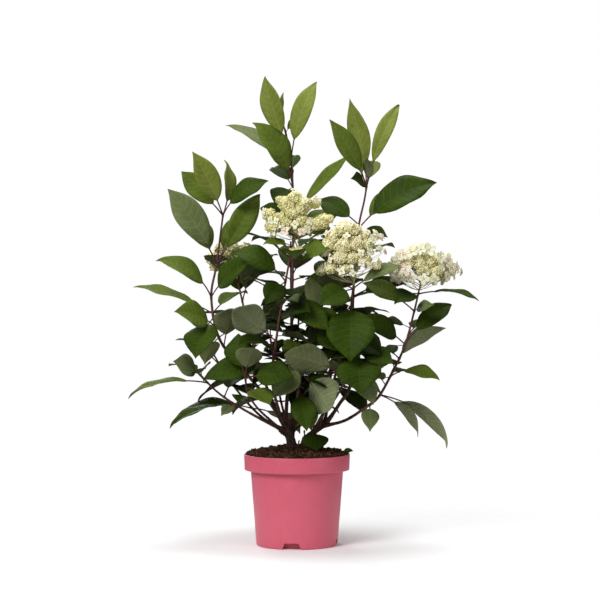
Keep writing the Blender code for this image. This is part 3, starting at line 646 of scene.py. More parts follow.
def wanted_leaves(name, stem, number):
    line = stem["line"]
    if name in FRONT_LEAVES:
        for height, across, back, up, face, width, *bend in FRONT_LEAVES[name]:
            distance = max(line.at_height(height), stem["bare"] + PAST_BARE)
            yield distance, Vector((across, back, up)), (math.radians(face), width, *bend)
        return
    dice = random.Random(FIRST_SEED + number)
    turn = dice.uniform(0, math.tau)
    distance = stem["bare"] + FIRST_LEAVES
    while distance < line.length - LAST_LEAVES:
        share = (distance - stem["bare"]) / (line.length - stem["bare"])
        for half_turn in (0, math.pi):
            bearing = turn + half_turn + math.radians(dice.uniform(-1, 1) * RULE_SCATTER)
            rise = RULE_RISE[0] + (RULE_RISE[1] - RULE_RISE[0]) * share ** RULE_STEEPENING
            rise = math.radians(rise + dice.uniform(-1, 1) * RULE_SCATTER)
            size = RULE_LENGTH[0] + (RULE_LENGTH[1] - RULE_LENGTH[0]) * share
            size *= dice.uniform(*RULE_SIZES)
            reach = (level(bearing) * math.cos(rise) + Vector((0, 0, math.sin(rise)))) * size
            face = math.radians(dice.uniform(-1, 1) * RULE_SCATTER)
            yield distance, reach, (face, size * RULE_WIDTH_SHARE)
        turn += math.pi / 2 + math.radians(dice.uniform(-1, 1) * RULE_SCATTER)
        distance += RULE_SPACING[0] + (RULE_SPACING[1] - RULE_SPACING[0]) * share


def tried_ways(reach):
    """The wanted reach first, and then the same one swung and lifted by growing angles."""
    across = reach.cross(Vector((0, 0, 1))).normalized()
    for lift in LIFTS:
        lifted = Matrix.Rotation(math.radians(lift), 3, across) @ reach
        for swing in SWINGS:
            yield Matrix.Rotation(math.radians(swing), 3, "Z") @ lifted


print("ways to try for each leaf:", len(LIFTS) * len(SWINGS))

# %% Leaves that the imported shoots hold
FOUND_WITHIN = 0.4 * MM
TESTED_SHARES = (0.44, 0.68)


def tree_of_node(name):
    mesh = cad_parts[name].data
    return BVHTree.FromPolygons([vert.co for vert in mesh.vertices],
                                [face.vertices for face in mesh.polygons])


def lies_on(leaf, tree):
    """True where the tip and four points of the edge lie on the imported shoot."""
    spots = [leaf.frame(1.0)[0]]
    for t in TESTED_SHARES:
        point, side, up = leaf.frame(t)
        half = leaf.half_width(t)
        spots += [point + side * (half * way) + up * (LEAF_FOLD * half) for way in (-1, 1)]
    return all(tree.find_nearest(spot * MM)[3] < FOUND_WITHIN for spot in spots)


def find_leaves(name, stem, number):
    tree = tree_of_node(f"shoot_{name}")
    for row, (distance, wanted, shape) in enumerate(wanted_leaves(name, stem, number)):
        root = stem["line"].at(distance)[0]
        for reach in tried_ways(wanted):
            leaf = Leaf(root, reach, *shape)
            if lies_on(leaf, tree):
                leaf.distance, leaf.row = distance, row
                yield leaf
                break


leaves = {}
for number, (name, stem) in enumerate(stems.items()):
    leaves[name] = list(find_leaves(name, stem, number))
print("leaves found:", sum(len(found) for found in leaves.values()))

# %% [markdown]
# ## Small leaves in the middle
#
# The imported shoots hold only the large leaves. A real hydrangea also has smaller leaves in the middle
# of the crown, and they close it against the light. They sprout in opposite pairs from every stem that
# passes there. A leaf is left out where it would leave the crown's dense middle, or where it would stand
# in a leaf that is already there. Two more, one hanging and one lying on the rim, are listed one by one.

# %% Small leaves
DENSE_MIDDLE = Vector((36.0, 6.0, 366.0))
DENSE_REACH = Vector((148.0, 112.0, 106.0))
SIDE_SEED = 3100
SIDE_FROM = 30.0
SIDE_UNTIL = 0.92
SIDE_SPACING = 16.0
SIDE_BEARING_SCATTER = 0.4
SIDE_PAIR_SCATTER = 0.3
SIDE_FACE = 40
KEPT_CLEAR = (0.35, 0.5, 0.65, 0.8)
SIDE_LENGTHS = (44.0, 76.0)
SIDE_RISE = (-26.0, 34.0)
SIDE_CLEARANCE = 13.0
SIDE_WIDTH_SHARE = 0.56
SOIL_LEAVES_ON = "right_side"
SOIL_LEAVES = (
    ((27, -24, 207), (6, -28, -36), 0.0, 48),
    ((78, -30, 168), (22, -10, 3), 1.0, 10),
)


def in_dense_middle(point):
    """True inside an egg shape round the middle of the crown."""
    away = point - DENSE_MIDDLE
    return sum((across / reach) ** 2 for across, reach in zip(away, DENSE_REACH)) < 1


def side_leaves(stem, number, large):
    dice = random.Random(SIDE_SEED + number)
    line = stem["line"]
    spots = [leaf.frame(t)[0] for leaf in large for t in KEPT_CLEAR]
    turn = dice.uniform(0, math.tau)
    distance = SIDE_FROM
    while distance < line.length * SIDE_UNTIL:
        root = line.at(distance)[0]
        for half_turn in (0, math.pi):
            bearing = turn + half_turn + dice.uniform(-SIDE_BEARING_SCATTER, SIDE_BEARING_SCATTER)
            rise = math.radians(dice.uniform(*SIDE_RISE))
            size = dice.uniform(*SIDE_LENGTHS)
            reach = (level(bearing) * math.cos(rise) + Vector((0, 0, math.sin(rise)))) * size
            face = math.radians(dice.uniform(-SIDE_FACE, SIDE_FACE))
            leaf = Leaf(root, reach, face, size * SIDE_WIDTH_SHARE)
            middle, tip = leaf.frame(LEAF_MIDDLE)[0], leaf.frame(1.0)[0]
            clear = all((spot - middle).length > SIDE_CLEARANCE for spot in spots)
            if clear and in_dense_middle(middle) and in_dense_middle(tip):
                leaf.distance, leaf.row = distance, None
                spots += [middle, tip]
                yield leaf
        turn += math.pi / 2 + dice.uniform(-SIDE_PAIR_SCATTER, SIDE_PAIR_SCATTER)
        distance += SIDE_SPACING


large_leaves = [leaf for found in leaves.values() for leaf in found]
small_leaves = {}
for number, (name, stem) in enumerate(stems.items()):
    small_leaves[name] = list(side_leaves(stem, number, large_leaves))
    large_leaves += small_leaves[name]
for root, reach, face, width in SOIL_LEAVES:
    leaf = Leaf(Vector(root), Vector(reach), face, width)
    leaf.distance, leaf.row = 0.0, None
    small_leaves[SOIL_LEAVES_ON].append(leaf)
print("small leaves:", sum(len(found) for found in small_leaves.values()))

# %% [markdown]
# ## Tubes for trunks, boughs and stalks
#
# A curve with a bevel makes an even pipe, but bark needs its own relief. Here a flat grid is rolled
# up: its columns go round the stem, its rows along it, and the seam is welded. Each vertex also keeps
# its place on a straightened stem, in an attribute named "straight", so that bark grain can run along
# a bent bough without a seam.

# %% Rolling a grid into a tube
WELD = 0.001 * MM


def paint(verts, slot, smooth=True):
    """Gives the faces round some vertices their material slot."""
    for face in {face for vert in verts for face in vert.link_faces}:
        face.material_index = slot
        face.smooth = smooth


def grow_tube(bm, sides, stations, slot=0, relief=None):
    """Stations are (centre, direction, radius, distance) in millimetres. Both ends are closed."""
    stations = [stations[0]] + list(stations) + [stations[-1]]
    straight = bm.verts.layers.float_vector.get("straight")
    straight = straight or bm.verts.layers.float_vector.new("straight")
    grid = bmesh.ops.create_grid(bm, x_segments=sides, y_segments=len(stations) - 1, size=1.0)["verts"]
    side = Vector((1, 0.2, 0.1))
    for row, (centre, along, radius, distance) in enumerate(stations):
        side = (side - along * side.dot(along)).normalized()
        other = along.cross(side)
        open_end = 0 < row < len(stations) - 1
        for column in range(sides + 1):
            turn = math.tau * (column % sides) / sides
            vert = grid[row * (sides + 1) + column]
            flat = Vector((math.cos(turn), math.sin(turn), 0.0))
            size = (radius + (relief(distance, flat) if relief else 0.0)) * open_end
            vert.co = (centre + (side * flat.x + other * flat.y) * size) * MM
            vert[straight] = (flat * radius + Vector((0, 0, distance))) * MM
    paint(grid, slot)
    bmesh.ops.remove_doubles(bm, verts=grid, dist=WELD)


print("tube helpers:", paint.__name__, grow_tube.__name__)

# %% Turning a bmesh into a piece
def make_piece(name, bm, materials, nodes, slot, sharp=None):
    """Puts a bmesh in the scene as a piece that rides on the plant and stands for its solids."""
    piece = make_object(name, bm)
    mesh = piece.data
    if sharp:
        mesh.set_sharp_from_angle(angle=math.radians(sharp))
    for material in materials:
        mesh.materials.append(material)
    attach(piece, "root")
    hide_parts(*nodes)
    print(f"{name}: {len(mesh.polygons)} faces")
    return piece


print("piece helper:", make_piece.__name__)

# %% [markdown]
# Buds and crumbs come in thousands. Every bmesh operator also looks at all that the mesh already
# holds, so a big mesh gets slower with each bud. A handful is made apart and then joined in.

# %% Joining a small part to a large one
def join_in(bm, part):
    mesh = bpy.data.meshes.new("part")
    part.to_mesh(mesh)
    part.free()
    bm.from_mesh(mesh)
    bpy.data.meshes.remove(mesh)


print("joining helper:", join_in.__name__)

# %% [markdown]
# ## Bark and young wood
#
# Old hydrangea wood is dull brown and peels in long strips, and this year's shoots are smooth and
# purplish red with small pale pores. Both materials read the "straight" attribute, so their noise is
# drawn out along the stem and not across the room.

# %% Wood materials
def make_wood(name, dark, light, patch, stretch, roughness, depth):
    material, tree, shader, place = start_material(name, attribute="straight")
    drawn = add(tree, "ShaderNodeVectorMath", {0: place, 1: (1, 1, stretch)}, operation="MULTIPLY")
    base = use(tree, MOTTLE, {"Position": drawn.outputs[0], "Scale": 240.0, "Contrast": 1.1,
                              "Dark": (*dark, 1), "Light": (*light, 1)})
    pores = use(tree, SPECKS, {"Position": drawn.outputs[0], "Scale": 900.0, "Amount": 0.14})
    colour = between(tree, pores.outputs["Mask"], base.outputs["Colour"], patch)
    grain = use(tree, GRAIN, {"Position": place, "Scale": 700.0, "Stretch": (1, 1, stretch)})
    matt = add(tree, "ShaderNodeMapRange", {"Value": base.outputs["Mask"], "To Min": roughness - 0.12,
                                            "To Max": roughness + 0.08})
    finish_material(tree, shader, colour, matt.outputs[0], grain.outputs["Height"], 0.7, depth)
    shader.inputs["Specular IOR Level"].default_value = 0.2
    return material


BARK = make_wood("old_bark", (0.008, 0.005, 0.003), (0.070, 0.042, 0.026), (0.12, 0.080, 0.055),
                 0.22, 0.88, 0.0018)
BOUGH = make_wood("bough_bark", (0.020, 0.009, 0.006), (0.105, 0.050, 0.032), (0.15, 0.090, 0.060),
                  0.25, 0.76, 0.0008)
SHOOT = make_wood("young_wood", (0.050, 0.014, 0.013), (0.130, 0.052, 0.040), (0.19, 0.12, 0.085),
                  0.3, 0.55, 0.0003)
print("wood:", BARK.name, BOUGH.name, SHOOT.name)

# %% [markdown]
# Bark is part of the shape here, and not only of its material, because the furrows of an old trunk break
# its outline. A trunk also flares where it enters the soil and is rounded off at its fork. A bough has a
# collar at its foot, where it leaves the trunk, and a slight knot every few centimetres.

# %% Bark relief
FURROW = {"round": 2.6, "along": 0.055, "sharpness": 2.2, "level": 0.6}
LUMP = {"along": 0.09, "share": 0.7}
GRIT = {"round": 7, "along": 0.35}


def bark_relief(depth, fine, seed):
    """Long furrows: noise on the straightened stem, squeezed so that it changes slowly along it."""
    def relief(distance, flat):
        spot = Vector((flat.x * FURROW["round"], flat.y * FURROW["round"],
                       distance * FURROW["along"] + seed))
        furrow = 1 - abs(noise.noise(spot)) * FURROW["sharpness"]
        lumps = noise.noise(Vector((flat.x, flat.y, distance * LUMP["along"] + seed * 3)))
        grit = noise.noise(Vector((flat.x * GRIT["round"], flat.y * GRIT["round"],
                                   distance * GRIT["along"] + seed)))
        return depth * (furrow - FURROW["level"] + LUMP["share"] * lumps) + fine * grit
    return relief


def line_stations(line, start, end, step, radius_at):
    """Even stations along a line, each with the radius that a rule gives there."""
    count = max(3, round((end - start) / step))
    for index in range(count + 1):
        distance = start + (end - start) * index / count
        centre, along = line.at(distance)
        yield centre, along, radius_at(distance), distance


print("bark helpers:", bark_relief.__name__, line_stations.__name__)

# %% Trunks
TRUNK_SIDES = 36
TRUNK_STEP = 1.4
TRUNK_SUNK = 9.0
TRUNK_RELIEF = (0.75, 0.35)
TRUNK_SEED = 5.0
FOOT_SPREAD = 4.0
FLARE, FLARE_HEIGHT = 2.6, 9.0
CROWN_FROM, CROWN_SPAN = 0.86, 0.16


def make_trunks():
    for number, (name, trunk) in enumerate(trunks.items()):
        line = trunk["line"]
        centre, along = line.at(0)
        def radius_at(distance):
            share = distance / line.length
            flare = FLARE * max(0.0, 1 - distance / FLARE_HEIGHT) ** 2
            crown = math.sqrt(max(0.0, 1 - max(0.0, (share - CROWN_FROM) / CROWN_SPAN) ** 2))
            return (trunk["foot"] + (trunk["fork"] - trunk["foot"]) * share + flare) * crown
        foot = centre - Vector((0, 0, TRUNK_SUNK))
        stations = [(foot, along, trunk["foot"] + FOOT_SPREAD, -TRUNK_SUNK)]
        stations += line_stations(line, 0.0, line.length, TRUNK_STEP, radius_at)
        bm = bmesh.new()
        grow_tube(bm, TRUNK_SIDES, stations, relief=bark_relief(*TRUNK_RELIEF, TRUNK_SEED + number))
        make_piece(f"trunk_wood_{name}", bm, [BARK], [f"trunk_{name}"], "bark")


make_trunks()

# %% Boughs
BOUGH_SIDES = 12
BOUGH_STEP = 4.0
BOUGH_RELIEF = (0.16, 0.14)
BOUGH_SEED = 2.0
PAST_BOUGH = 1.0
BARK_OVER_SOLID = 1.02
COLLAR, COLLAR_LENGTH = 1.6, 14.0
KNOT, KNOT_SPACING, KNOT_PLACE, KNOT_LENGTH = 0.35, 37.0, 18.0, 2.6


def make_boughs():
    for name in trunks:
        bm = bmesh.new()
        nodes = []
        for index, (stem_name, stem) in enumerate(stems.items()):
            if stem["trunk"] != name:
                continue
            def radius_at(distance):
                collar = COLLAR * math.exp(-(distance / COLLAR_LENGTH) ** 2)
                knot = KNOT * math.exp(-((distance % KNOT_SPACING - KNOT_PLACE) / KNOT_LENGTH) ** 2)
                return stem_radius(stem, distance) * BARK_OVER_SOLID + collar + knot
            end = stem["bare"] + PAST_BOUGH
            stations = list(line_stations(stem["line"], 0.0, end, BOUGH_STEP, radius_at))
            grow_tube(bm, BOUGH_SIDES, stations, relief=bark_relief(*BOUGH_RELIEF, BOUGH_SEED + index))
            nodes.append(f"bough_{stem_name}")
        make_piece(f"boughs_{name}", bm, [BOUGH], nodes, "bark")


make_boughs()

# %% [markdown]
# Two reddish new shoots and three stubs with swollen buds stand at the foot of the trunks. They show
# that the plant was cut back, and are short tubes grown like the rest.

# %% New shoots and stubs
BASE_SHOOTS = {
    "new_shoots": (SHOOT, 1.5, (
        ((-1, -14, 170), (2, -16, 178), (4, -17, 188)),
        ((6, -12, 172), (9, -14, 180), (8, -15, 186)),
    )),
    "stubs": (BOUGH, 1.9, (
        ((20, -8, 184), (14, -16, 196), (13, -18, 206)),
        ((34, -6, 198), (30, -12, 208), (31, -14, 216)),
        ((-22, -8, 196), (-30, -16, 202), (-33, -19, 209)),
    )),
}
BASE_STEP = 1.5
BASE_TAPER = 0.3
BUD_SWELL, BUD_RHYTHM = 0.25, 0.9


def make_base_shoots():
    for name, (material, radius, lines) in BASE_SHOOTS.items():
        bm = bmesh.new()
        for guides in lines:
            line = Line(guides)
            def radius_at(distance):
                swell = BUD_SWELL * math.sin(distance * BUD_RHYTHM)
                return radius * (1 - BASE_TAPER * distance / line.length + swell)
            grow_tube(bm, BOUGH_SIDES, list(line_stations(line, 0.0, line.length, BASE_STEP, radius_at)))
        make_piece(name, bm, [material], ["trunk_right"], "bark")


make_base_shoots()

# %% [markdown]
# ## Leaf colours
#
# A leaf of this plant is dark and slightly glossy above, pale and dull grey-green below, and the
# youngest ones at the tips are yellow-green. The colour belongs to the whole leaf, so it is a plain
# base colour that is dealt out leaf by leaf through the material slots. Besides the leaf's own green,
# the shades hold painted light and shade: lighter and darker copies of one green, darker for leaves in
# the shade of the crown and lighter for lit leaves at the top. A colour attribute could carry it too,
# but with slots each shade has a name. Within a leaf, mottle and the net of the finest veins break it
# up, and the veins are a little lighter than the blade. The shine is low, because a strong one would
# wash the dark green out.

# %% Leaf materials
LEAF_SHINE = 0.05
FINE_RELIEF = 0.3 * MM


def make_leaf_material(name, dark, light, line, roughness, relief):
    material, tree, shader, place = start_material(name)
    base = use(tree, MOTTLE, {"Position": place, "Scale": 34.0, "Contrast": 1.1,
                              "Dark": (*dark, 1), "Light": (*light, 1)})
    net = use(tree, NET, {"Position": place, "Scale": 380.0})
    faint = add(tree, "ShaderNodeMath", {0: net.outputs["Lines"], 1: 0.18}, operation="MULTIPLY")
    colour = between(tree, faint.outputs[0], base.outputs["Colour"], line)
    shine = add(tree, "ShaderNodeMapRange", {"Value": base.outputs["Mask"], "To Min": roughness - 0.06,
                                             "To Max": roughness + 0.08})
    finish_material(tree, shader, colour, shine.outputs[0], net.outputs["Height"], relief, FINE_RELIEF)
    shader.inputs["Specular IOR Level"].default_value = LEAF_SHINE
    return material


# The deep, dark and mid shades are one green painted darker or lighter for the shade or light a leaf stands
# in; the lightest shade is the yellow-green of youth with painted light added. Each underside follows its
# leaf's shade, so it carries the same painted light and shade.
SHADES = {
    "deep": ((0.008, 0.017, 0.001), (0.020, 0.037, 0.001), (0.028, 0.048, 0.004)),
    "dark": ((0.017, 0.034, 0.002), (0.038, 0.067, 0.005), (0.050, 0.082, 0.010)),
    "mid": ((0.060, 0.092, 0.009), (0.102, 0.146, 0.019), (0.128, 0.172, 0.032)),
    "young_and_lit": ((0.112, 0.142, 0.018), (0.180, 0.214, 0.040), (0.222, 0.254, 0.072)),
    "pale": ((0.085, 0.112, 0.036), (0.132, 0.162, 0.062), (0.176, 0.206, 0.092)),
}
UNDERSIDES = {
    "deep": ((0.044, 0.058, 0.018), (0.080, 0.098, 0.038), (0.110, 0.128, 0.056)),
    "dark": ((0.070, 0.086, 0.032), (0.116, 0.134, 0.056), (0.150, 0.168, 0.080)),
    "mid": ((0.100, 0.118, 0.048), (0.158, 0.178, 0.080), (0.196, 0.216, 0.110)),
    "young_and_lit": ((0.140, 0.164, 0.054), (0.208, 0.234, 0.090), (0.256, 0.284, 0.128)),
    "pale": ((0.142, 0.166, 0.078), (0.210, 0.238, 0.122), (0.256, 0.282, 0.160)),
}


def leaf_set(ending, shades, roughness, relief):
    """For each shade a material for the blade and one for its veins."""
    for shade, (dark, light, line) in shades.items():
        blade = make_leaf_material(f"leaf_{shade}{ending}", dark, light, line, roughness, relief)
        vein = make_leaf_material(f"vein_{shade}{ending}", light, line, line, roughness + 0.06, 0.1)
        yield shade, (blade, vein)


UPPER = dict(leaf_set("", SHADES, 0.50, 0.16))
UNDER = dict(leaf_set("_under", UNDERSIDES, 0.74, 0.2))
print("leaf materials:", 2 * len(UPPER) + 2 * len(UNDER))

# %% [markdown]
# ## A blade with veins
#
# A picture of a leaf on a flat card would be quicker, but it looks flat from near and thin from the
# side. So the blade is a mesh, and it starts as a flat grid. Its rows don't run straight across: they
# sweep forward from the midrib as the side veins do, eight pairs of them. A vein is a pair of rows close
# together, sunk a little and given its own colour, and the row half-way between two veins is pushed up,
# which gives the quilted look. The outline, the fold along the midrib, a slight twist and a wavy edge
# complete it.

# %% Rows and columns of a blade
VEIN_PAIRS = 8
FIRST_VEIN = 0.09
VEIN_SPACING = 0.105
VEIN_HALF = 0.0048
FIRST_ROW = (0.045, 0.35, False)
LAST_ROW = (0.945, 0.15, False)
RAISED_LESS = 0.5
MIDRIB = 0.05
BLADE_COLUMNS = (-1.0, -0.68, -0.34, -MIDRIB, MIDRIB, 0.34, 0.68, 1.0)


def blade_rows():
    """Each row's place along the blade, how far it is raised, and whether a vein starts there."""
    rows = [(0.0, 0.0, False), FIRST_ROW]
    for number in range(VEIN_PAIRS):
        vein = FIRST_VEIN + VEIN_SPACING * number
        rows.append((vein - VEIN_HALF, 0.0, True))
        rows.append((vein + VEIN_HALF, 0.0, False))
        rows.append((vein + VEIN_SPACING / 2, 1.0 - number / VEIN_PAIRS * RAISED_LESS, False))
    return rows + [LAST_ROW, (1.0, 0.0, False)]


ROWS = blade_rows()
print("faces on one side of a blade:", (len(ROWS) - 1) * (len(BLADE_COLUMNS) - 1))

# %% Bending the grid into a blade
VEIN_SWEEP, SWEEP_BEND = 0.17, 1.2
MIDRIB_HALF = (0.85, 0.2)
PUCKER, PUCKER_SPAN, PUCKER_FADE = 0.9, 0.93, 16
TOOTH, TOOTH_FADE = 0.55, 10
FOLD_BEND = (1.3, 0.3)
WAVE, WAVE_SHIFT = 0.075, 1.7
TIP_CURL, CURL_FROM = 0.55, 0.72
TWIST_FROM = 0.25
TIP_WELD = 0.02 * MM
HABITS = {"phase": (0.0, math.tau), "waves": (9.0, 15.0), "fold": (0.7, 1.35), "curl": (0.2, 1.2),
          "twist": (-22.0, 22.0)}


def blade_point(leaf, habit, row, column):
    """Where one vertex of the flat grid goes: v runs along the blade and s across it."""
    v, raised, _ = ROWS[row]
    s = BLADE_COLUMNS[column]
    edge = abs(s) == 1.0
    swept = v + VEIN_SWEEP * abs(s) ** SWEEP_BEND * 4 * v * (1 - v)
    half = leaf.blade_half(swept)
    point, side, up = leaf.frame(STALK_SHARE + (1 - STALK_SHARE) * swept)
    if abs(s) == MIDRIB:
        x = math.copysign(min(half, MIDRIB_HALF[0] + (MIDRIB_HALF[1] - MIDRIB_HALF[0]) * v), s)
    else:
        x = s * half
    if edge and 0 < v < 1:
        x += math.copysign(TOOTH * (0.5 - raised), s) * min(1.0, half / TOOTH_FADE)
    bulge = PUCKER * raised * math.sin(math.pi * min(1.0, abs(s) * PUCKER_SPAN))
    bulge *= min(1.0, half / PUCKER_FADE)
    folded = FOLD_BEND[0] * abs(x) - FOLD_BEND[1] * x * x / max(half, 0.5)
    z = LEAF_FOLD * folded * habit["fold"] + bulge
    beat = habit["phase"] + v * habit["waves"] + (WAVE_SHIFT if s > 0 else 0.0)
    z += WAVE * half * abs(s) ** 3 * math.sin(beat)
    z -= TIP_CURL * habit["curl"] * max(0.0, v - CURL_FROM) ** 2 * leaf.reach.length
    twist = math.radians(habit["twist"]) * (v - TWIST_FROM)
    turned = x * math.cos(twist) - z * math.sin(twist), x * math.sin(twist) + z * math.cos(twist)
    return (point + side * turned[0] + up * turned[1]) * MM


def grow_blade(bm, leaf, slot, vein_slot, dice):
    habit = {trait: dice.uniform(*limits) for trait, limits in HABITS.items()}
    columns = len(BLADE_COLUMNS)
    grid = bmesh.ops.create_grid(bm, x_segments=columns - 1, y_segments=len(ROWS) - 1, size=1.0)["verts"]
    places = {vert: divmod(index, columns) for index, vert in enumerate(grid)}
    for face in {face for vert in grid for face in vert.link_faces}:
        row = min(places[vert][0] for vert in face.verts)
        column = min(places[vert][1] for vert in face.verts)
        face.material_index = vein_slot if ROWS[row][2] or BLADE_COLUMNS[column] == -MIDRIB else slot
        face.smooth = True
    for vert, (row, column) in places.items():
        vert.co = blade_point(leaf, habit, row, column)
    ends = [vert for vert, (row, _) in places.items() if row in (0, len(ROWS) - 1)]
    bmesh.ops.remove_doubles(bm, verts=ends, dist=TIP_WELD)


print("what differs from blade to blade:", ", ".join(HABITS))

# %% [markdown]
# The leaves in front get their shade by name, as the photograph shows them, so each shade there holds
# the light or shade falling on that leaf as well as its own green. A rule serves the others: lighter
# and yellower near a shoot's tip, for youth, and lighter high in the crown, which is painted light;
# deep green inside and low down, which is painted shade. The small leaves stand in the shade of the
# large ones and are all painted the deep green of that shade.

# %% Shades dealt to the leaves
CROWN_FOOT = 280.0
CROWN_HEIGHT = 470.0
INSIDE_RADIUS = 150.0
LIGHT_BY_HEIGHT = 0.70
LIGHT_BY_YOUTH = 0.30
DIMMED_INSIDE = 0.55
LIGHT_SCATTER = 0.12
SHADE_LIMITS = (("deep", 0.26), ("dark", 0.56), ("mid", 0.86))
# Each leaf's shade here is its own green together with the light or shade falling on it: painted light on
# lit leaves, painted shade on leaves in the crown's shadow.
SHADES_IN_FRONT = {
    "left_tall": {"young_and_lit": (1, 2, 12), "mid": (0, 5, 6, 8, 9, 10, 13), "dark": (3, 7, 11), "pale": (4,)},
    "centre_tall": {"young_and_lit": (4, 5, 6, 7), "pale": (1,), "mid": (0, 8, 10), "dark": (3, 11),
                    "deep": (2, 9)},
    "front_upright": {"dark": (0, 4, 9), "deep": (1, 3, 7, 8, 10), "mid": (5, 6, 11), "pale": (2,)},
    "low_left": {"mid": (0,), "dark": (1,), "deep": (4,), "pale": (2, 3)},
    "inner_left": {"dark": (1, 2), "mid": (0, 3), "deep": (4,)},
    "front_middle": {"pale": (0, 5), "deep": (2, 6), "dark": (1, 4), "mid": (3,)},
    "right_tall": {"young_and_lit": (2, 3, 14), "mid": (4, 5, 7), "dark": (0, 1), "deep": (6, 8, 11)},
    "middle_upright": {"dark": (1, 3, 8), "deep": (4, 5, 6, 7), "pale": (0,)},
    "right_side": {"mid": (3, 7), "dark": (0, 4), "deep": (1, 6), "pale": (2, 5, 8, 9, 10)},
    "front_right": {"dark": (0, 2), "mid": (1,), "pale": (3,), "deep": (4,)},
}


def shade_of(name, leaf, stem, dice):
    # Small leaves get deep green: painted shade of the large leaves above them.
    if leaf.row is None:
        return "deep"
    for shade, rows in SHADES_IN_FRONT.get(name, {}).items():
        if leaf.row in rows:
            return shade
    # Height makes a leaf lighter, which is painted light, and the inside of the crown darker, which is
    # painted shade; nearness to the tip stands for youth.
    middle = leaf.frame(LEAF_MIDDLE)[0]
    height = (middle.z - CROWN_FOOT) / CROWN_HEIGHT
    youth = leaf.distance / stem["line"].length
    inside = max(0.0, 1 - math.hypot(middle.x, middle.y) / INSIDE_RADIUS) * max(0.0, 1 - height * 2)
    light = LIGHT_BY_HEIGHT * height + LIGHT_BY_YOUTH * youth - DIMMED_INSIDE * inside
    light += dice.uniform(-LIGHT_SCATTER, LIGHT_SCATTER)
    for shade, limit in SHADE_LIMITS:
        if light < limit:
            return shade
    return "young_and_lit"


charted = sum(len(rows) for shades in SHADES_IN_FRONT.values() for rows in shades.values())
print("leaves with a shade by name:", charted)

# %% [markdown]
# A twig runs on where its bough ends, a little swollen at each pair of leaves. Every stalk leaves it and
# fades out under the blade's midrib, so that nothing shows where the two join. A Solidify modifier gives
# the blades their thickness, and its material offset gives the underside the dull shade of its own.

# %% Twigs and stalks of one shoot
STALK_SIDES = 6
STALK_STEPS = 9
STALK_END = 0.36
FULL_STALK_LENGTH = 90.0
TWIG_SIDES = 10
TWIG_STEP = 5.0
TWIG_RELIEF = (0.05, 0.06)
KNOT_SWELL, KNOT_REACH, MOST_SWELL = 0.55, 2.4, 0.9
STALK_FLARE, STALK_FLARE_FADE = 0.5, 30
STALK_FADE = 0.85
STALK_SINK = (0.8, 0.3)
STALK_SLIM = 0.92
AHEAD = 0.01


def stalk_stations(leaf):
    """The stalk runs to the foot of the blade and fades out under its midrib."""
    slim = min(1.0, leaf.reach.length / FULL_STALK_LENGTH)
    for index in range(STALK_STEPS + 1):
        t = STALK_END * index / STALK_STEPS
        point, _, up = leaf.frame(t)
        blade = max(0.0, (t - STALK_SHARE) / (STALK_END - STALK_SHARE))
        flared = 1 + STALK_FLARE * math.exp(-t * STALK_FLARE_FADE)
        radius = STALK_RADIUS * slim * flared * (1 - STALK_FADE * blade)
        ahead = leaf.frame(t + AHEAD)[0]
        sunk = min(1.0, blade * 3) * (radius * STALK_SINK[0] + STALK_SINK[1])
        yield point - up * sunk, (ahead - point).normalized(), radius * STALK_SLIM, leaf.reach.length * t


def make_twigs(name, stem):
    line = stem["line"]
    knots = sorted({round(leaf.distance) for leaf in leaves[name]})
    def radius_at(distance):
        swell = sum(KNOT_SWELL * math.exp(-((distance - knot) / KNOT_REACH) ** 2) for knot in knots)
        return stem_radius(stem, distance) + min(swell, MOST_SWELL)
    bm = bmesh.new()
    stations = list(line_stations(line, stem["bare"], line.length, TWIG_STEP, radius_at))
    grow_tube(bm, TWIG_SIDES, stations, relief=bark_relief(*TWIG_RELIEF, len(knots)))
    for leaf in leaves[name] + small_leaves[name]:
        grow_tube(bm, STALK_SIDES, list(stalk_stations(leaf)))
    make_piece(f"twigs_{name}", bm, [SHOOT], [f"shoot_{name}"], "stem")


print("shoot helpers:", stalk_stations.__name__, make_twigs.__name__)

# %% Blades of one shoot
BLADE_THICKNESS = 0.45
BLADE_SEED = 400


def make_blades(name, stem, number):
    dice = random.Random(BLADE_SEED + number)
    dealt = [(leaf, shade_of(name, leaf, stem, dice)) for leaf in leaves[name] + small_leaves[name]]
    used = [shade for shade in SHADES if any(shade == dealt_shade for _, dealt_shade in dealt)]
    bm = bmesh.new()
    for leaf, shade in dealt:
        grow_blade(bm, leaf, 2 * used.index(shade), 2 * used.index(shade) + 1, dice)
    materials = [material for side in (UPPER, UNDER) for shade in used for material in side[shade]]
    piece = make_piece(f"leaves_{name}", bm, materials, [f"shoot_{name}"], "leaf")
    solid = piece.modifiers.new("thickness", "SOLIDIFY")
    solid.thickness = BLADE_THICKNESS * MM
    solid.offset = -1.0
    solid.material_offset = 2 * len(used)
    solid.use_quality_normals = True


for number, (name, stem) in enumerate(stems.items()):
    make_twigs(name, stem)
    make_blades(name, stem, number)

# %% [markdown]
# ## The flower heads
#
# Five shoots end in a panicle. Most of it is a crowd of tiny fertile buds in small umbels, which looks
# granular from afar, and large sterile flowers with four sepals stand round it. The umbels of the three
# heads in front are placed by a chart, since no rule gives their loose shape: how far across, how far up
# from the head's foot, and how large. Each has a twin at the back, and the larger ones a third between,
# so the head is full from every side. The two heads behind follow the same spiral as the solids do:
# places on a dome, each turned from the last by the golden angle. Buds could also be strewn by a
# particle system, but then none would stand where the photograph shows it.

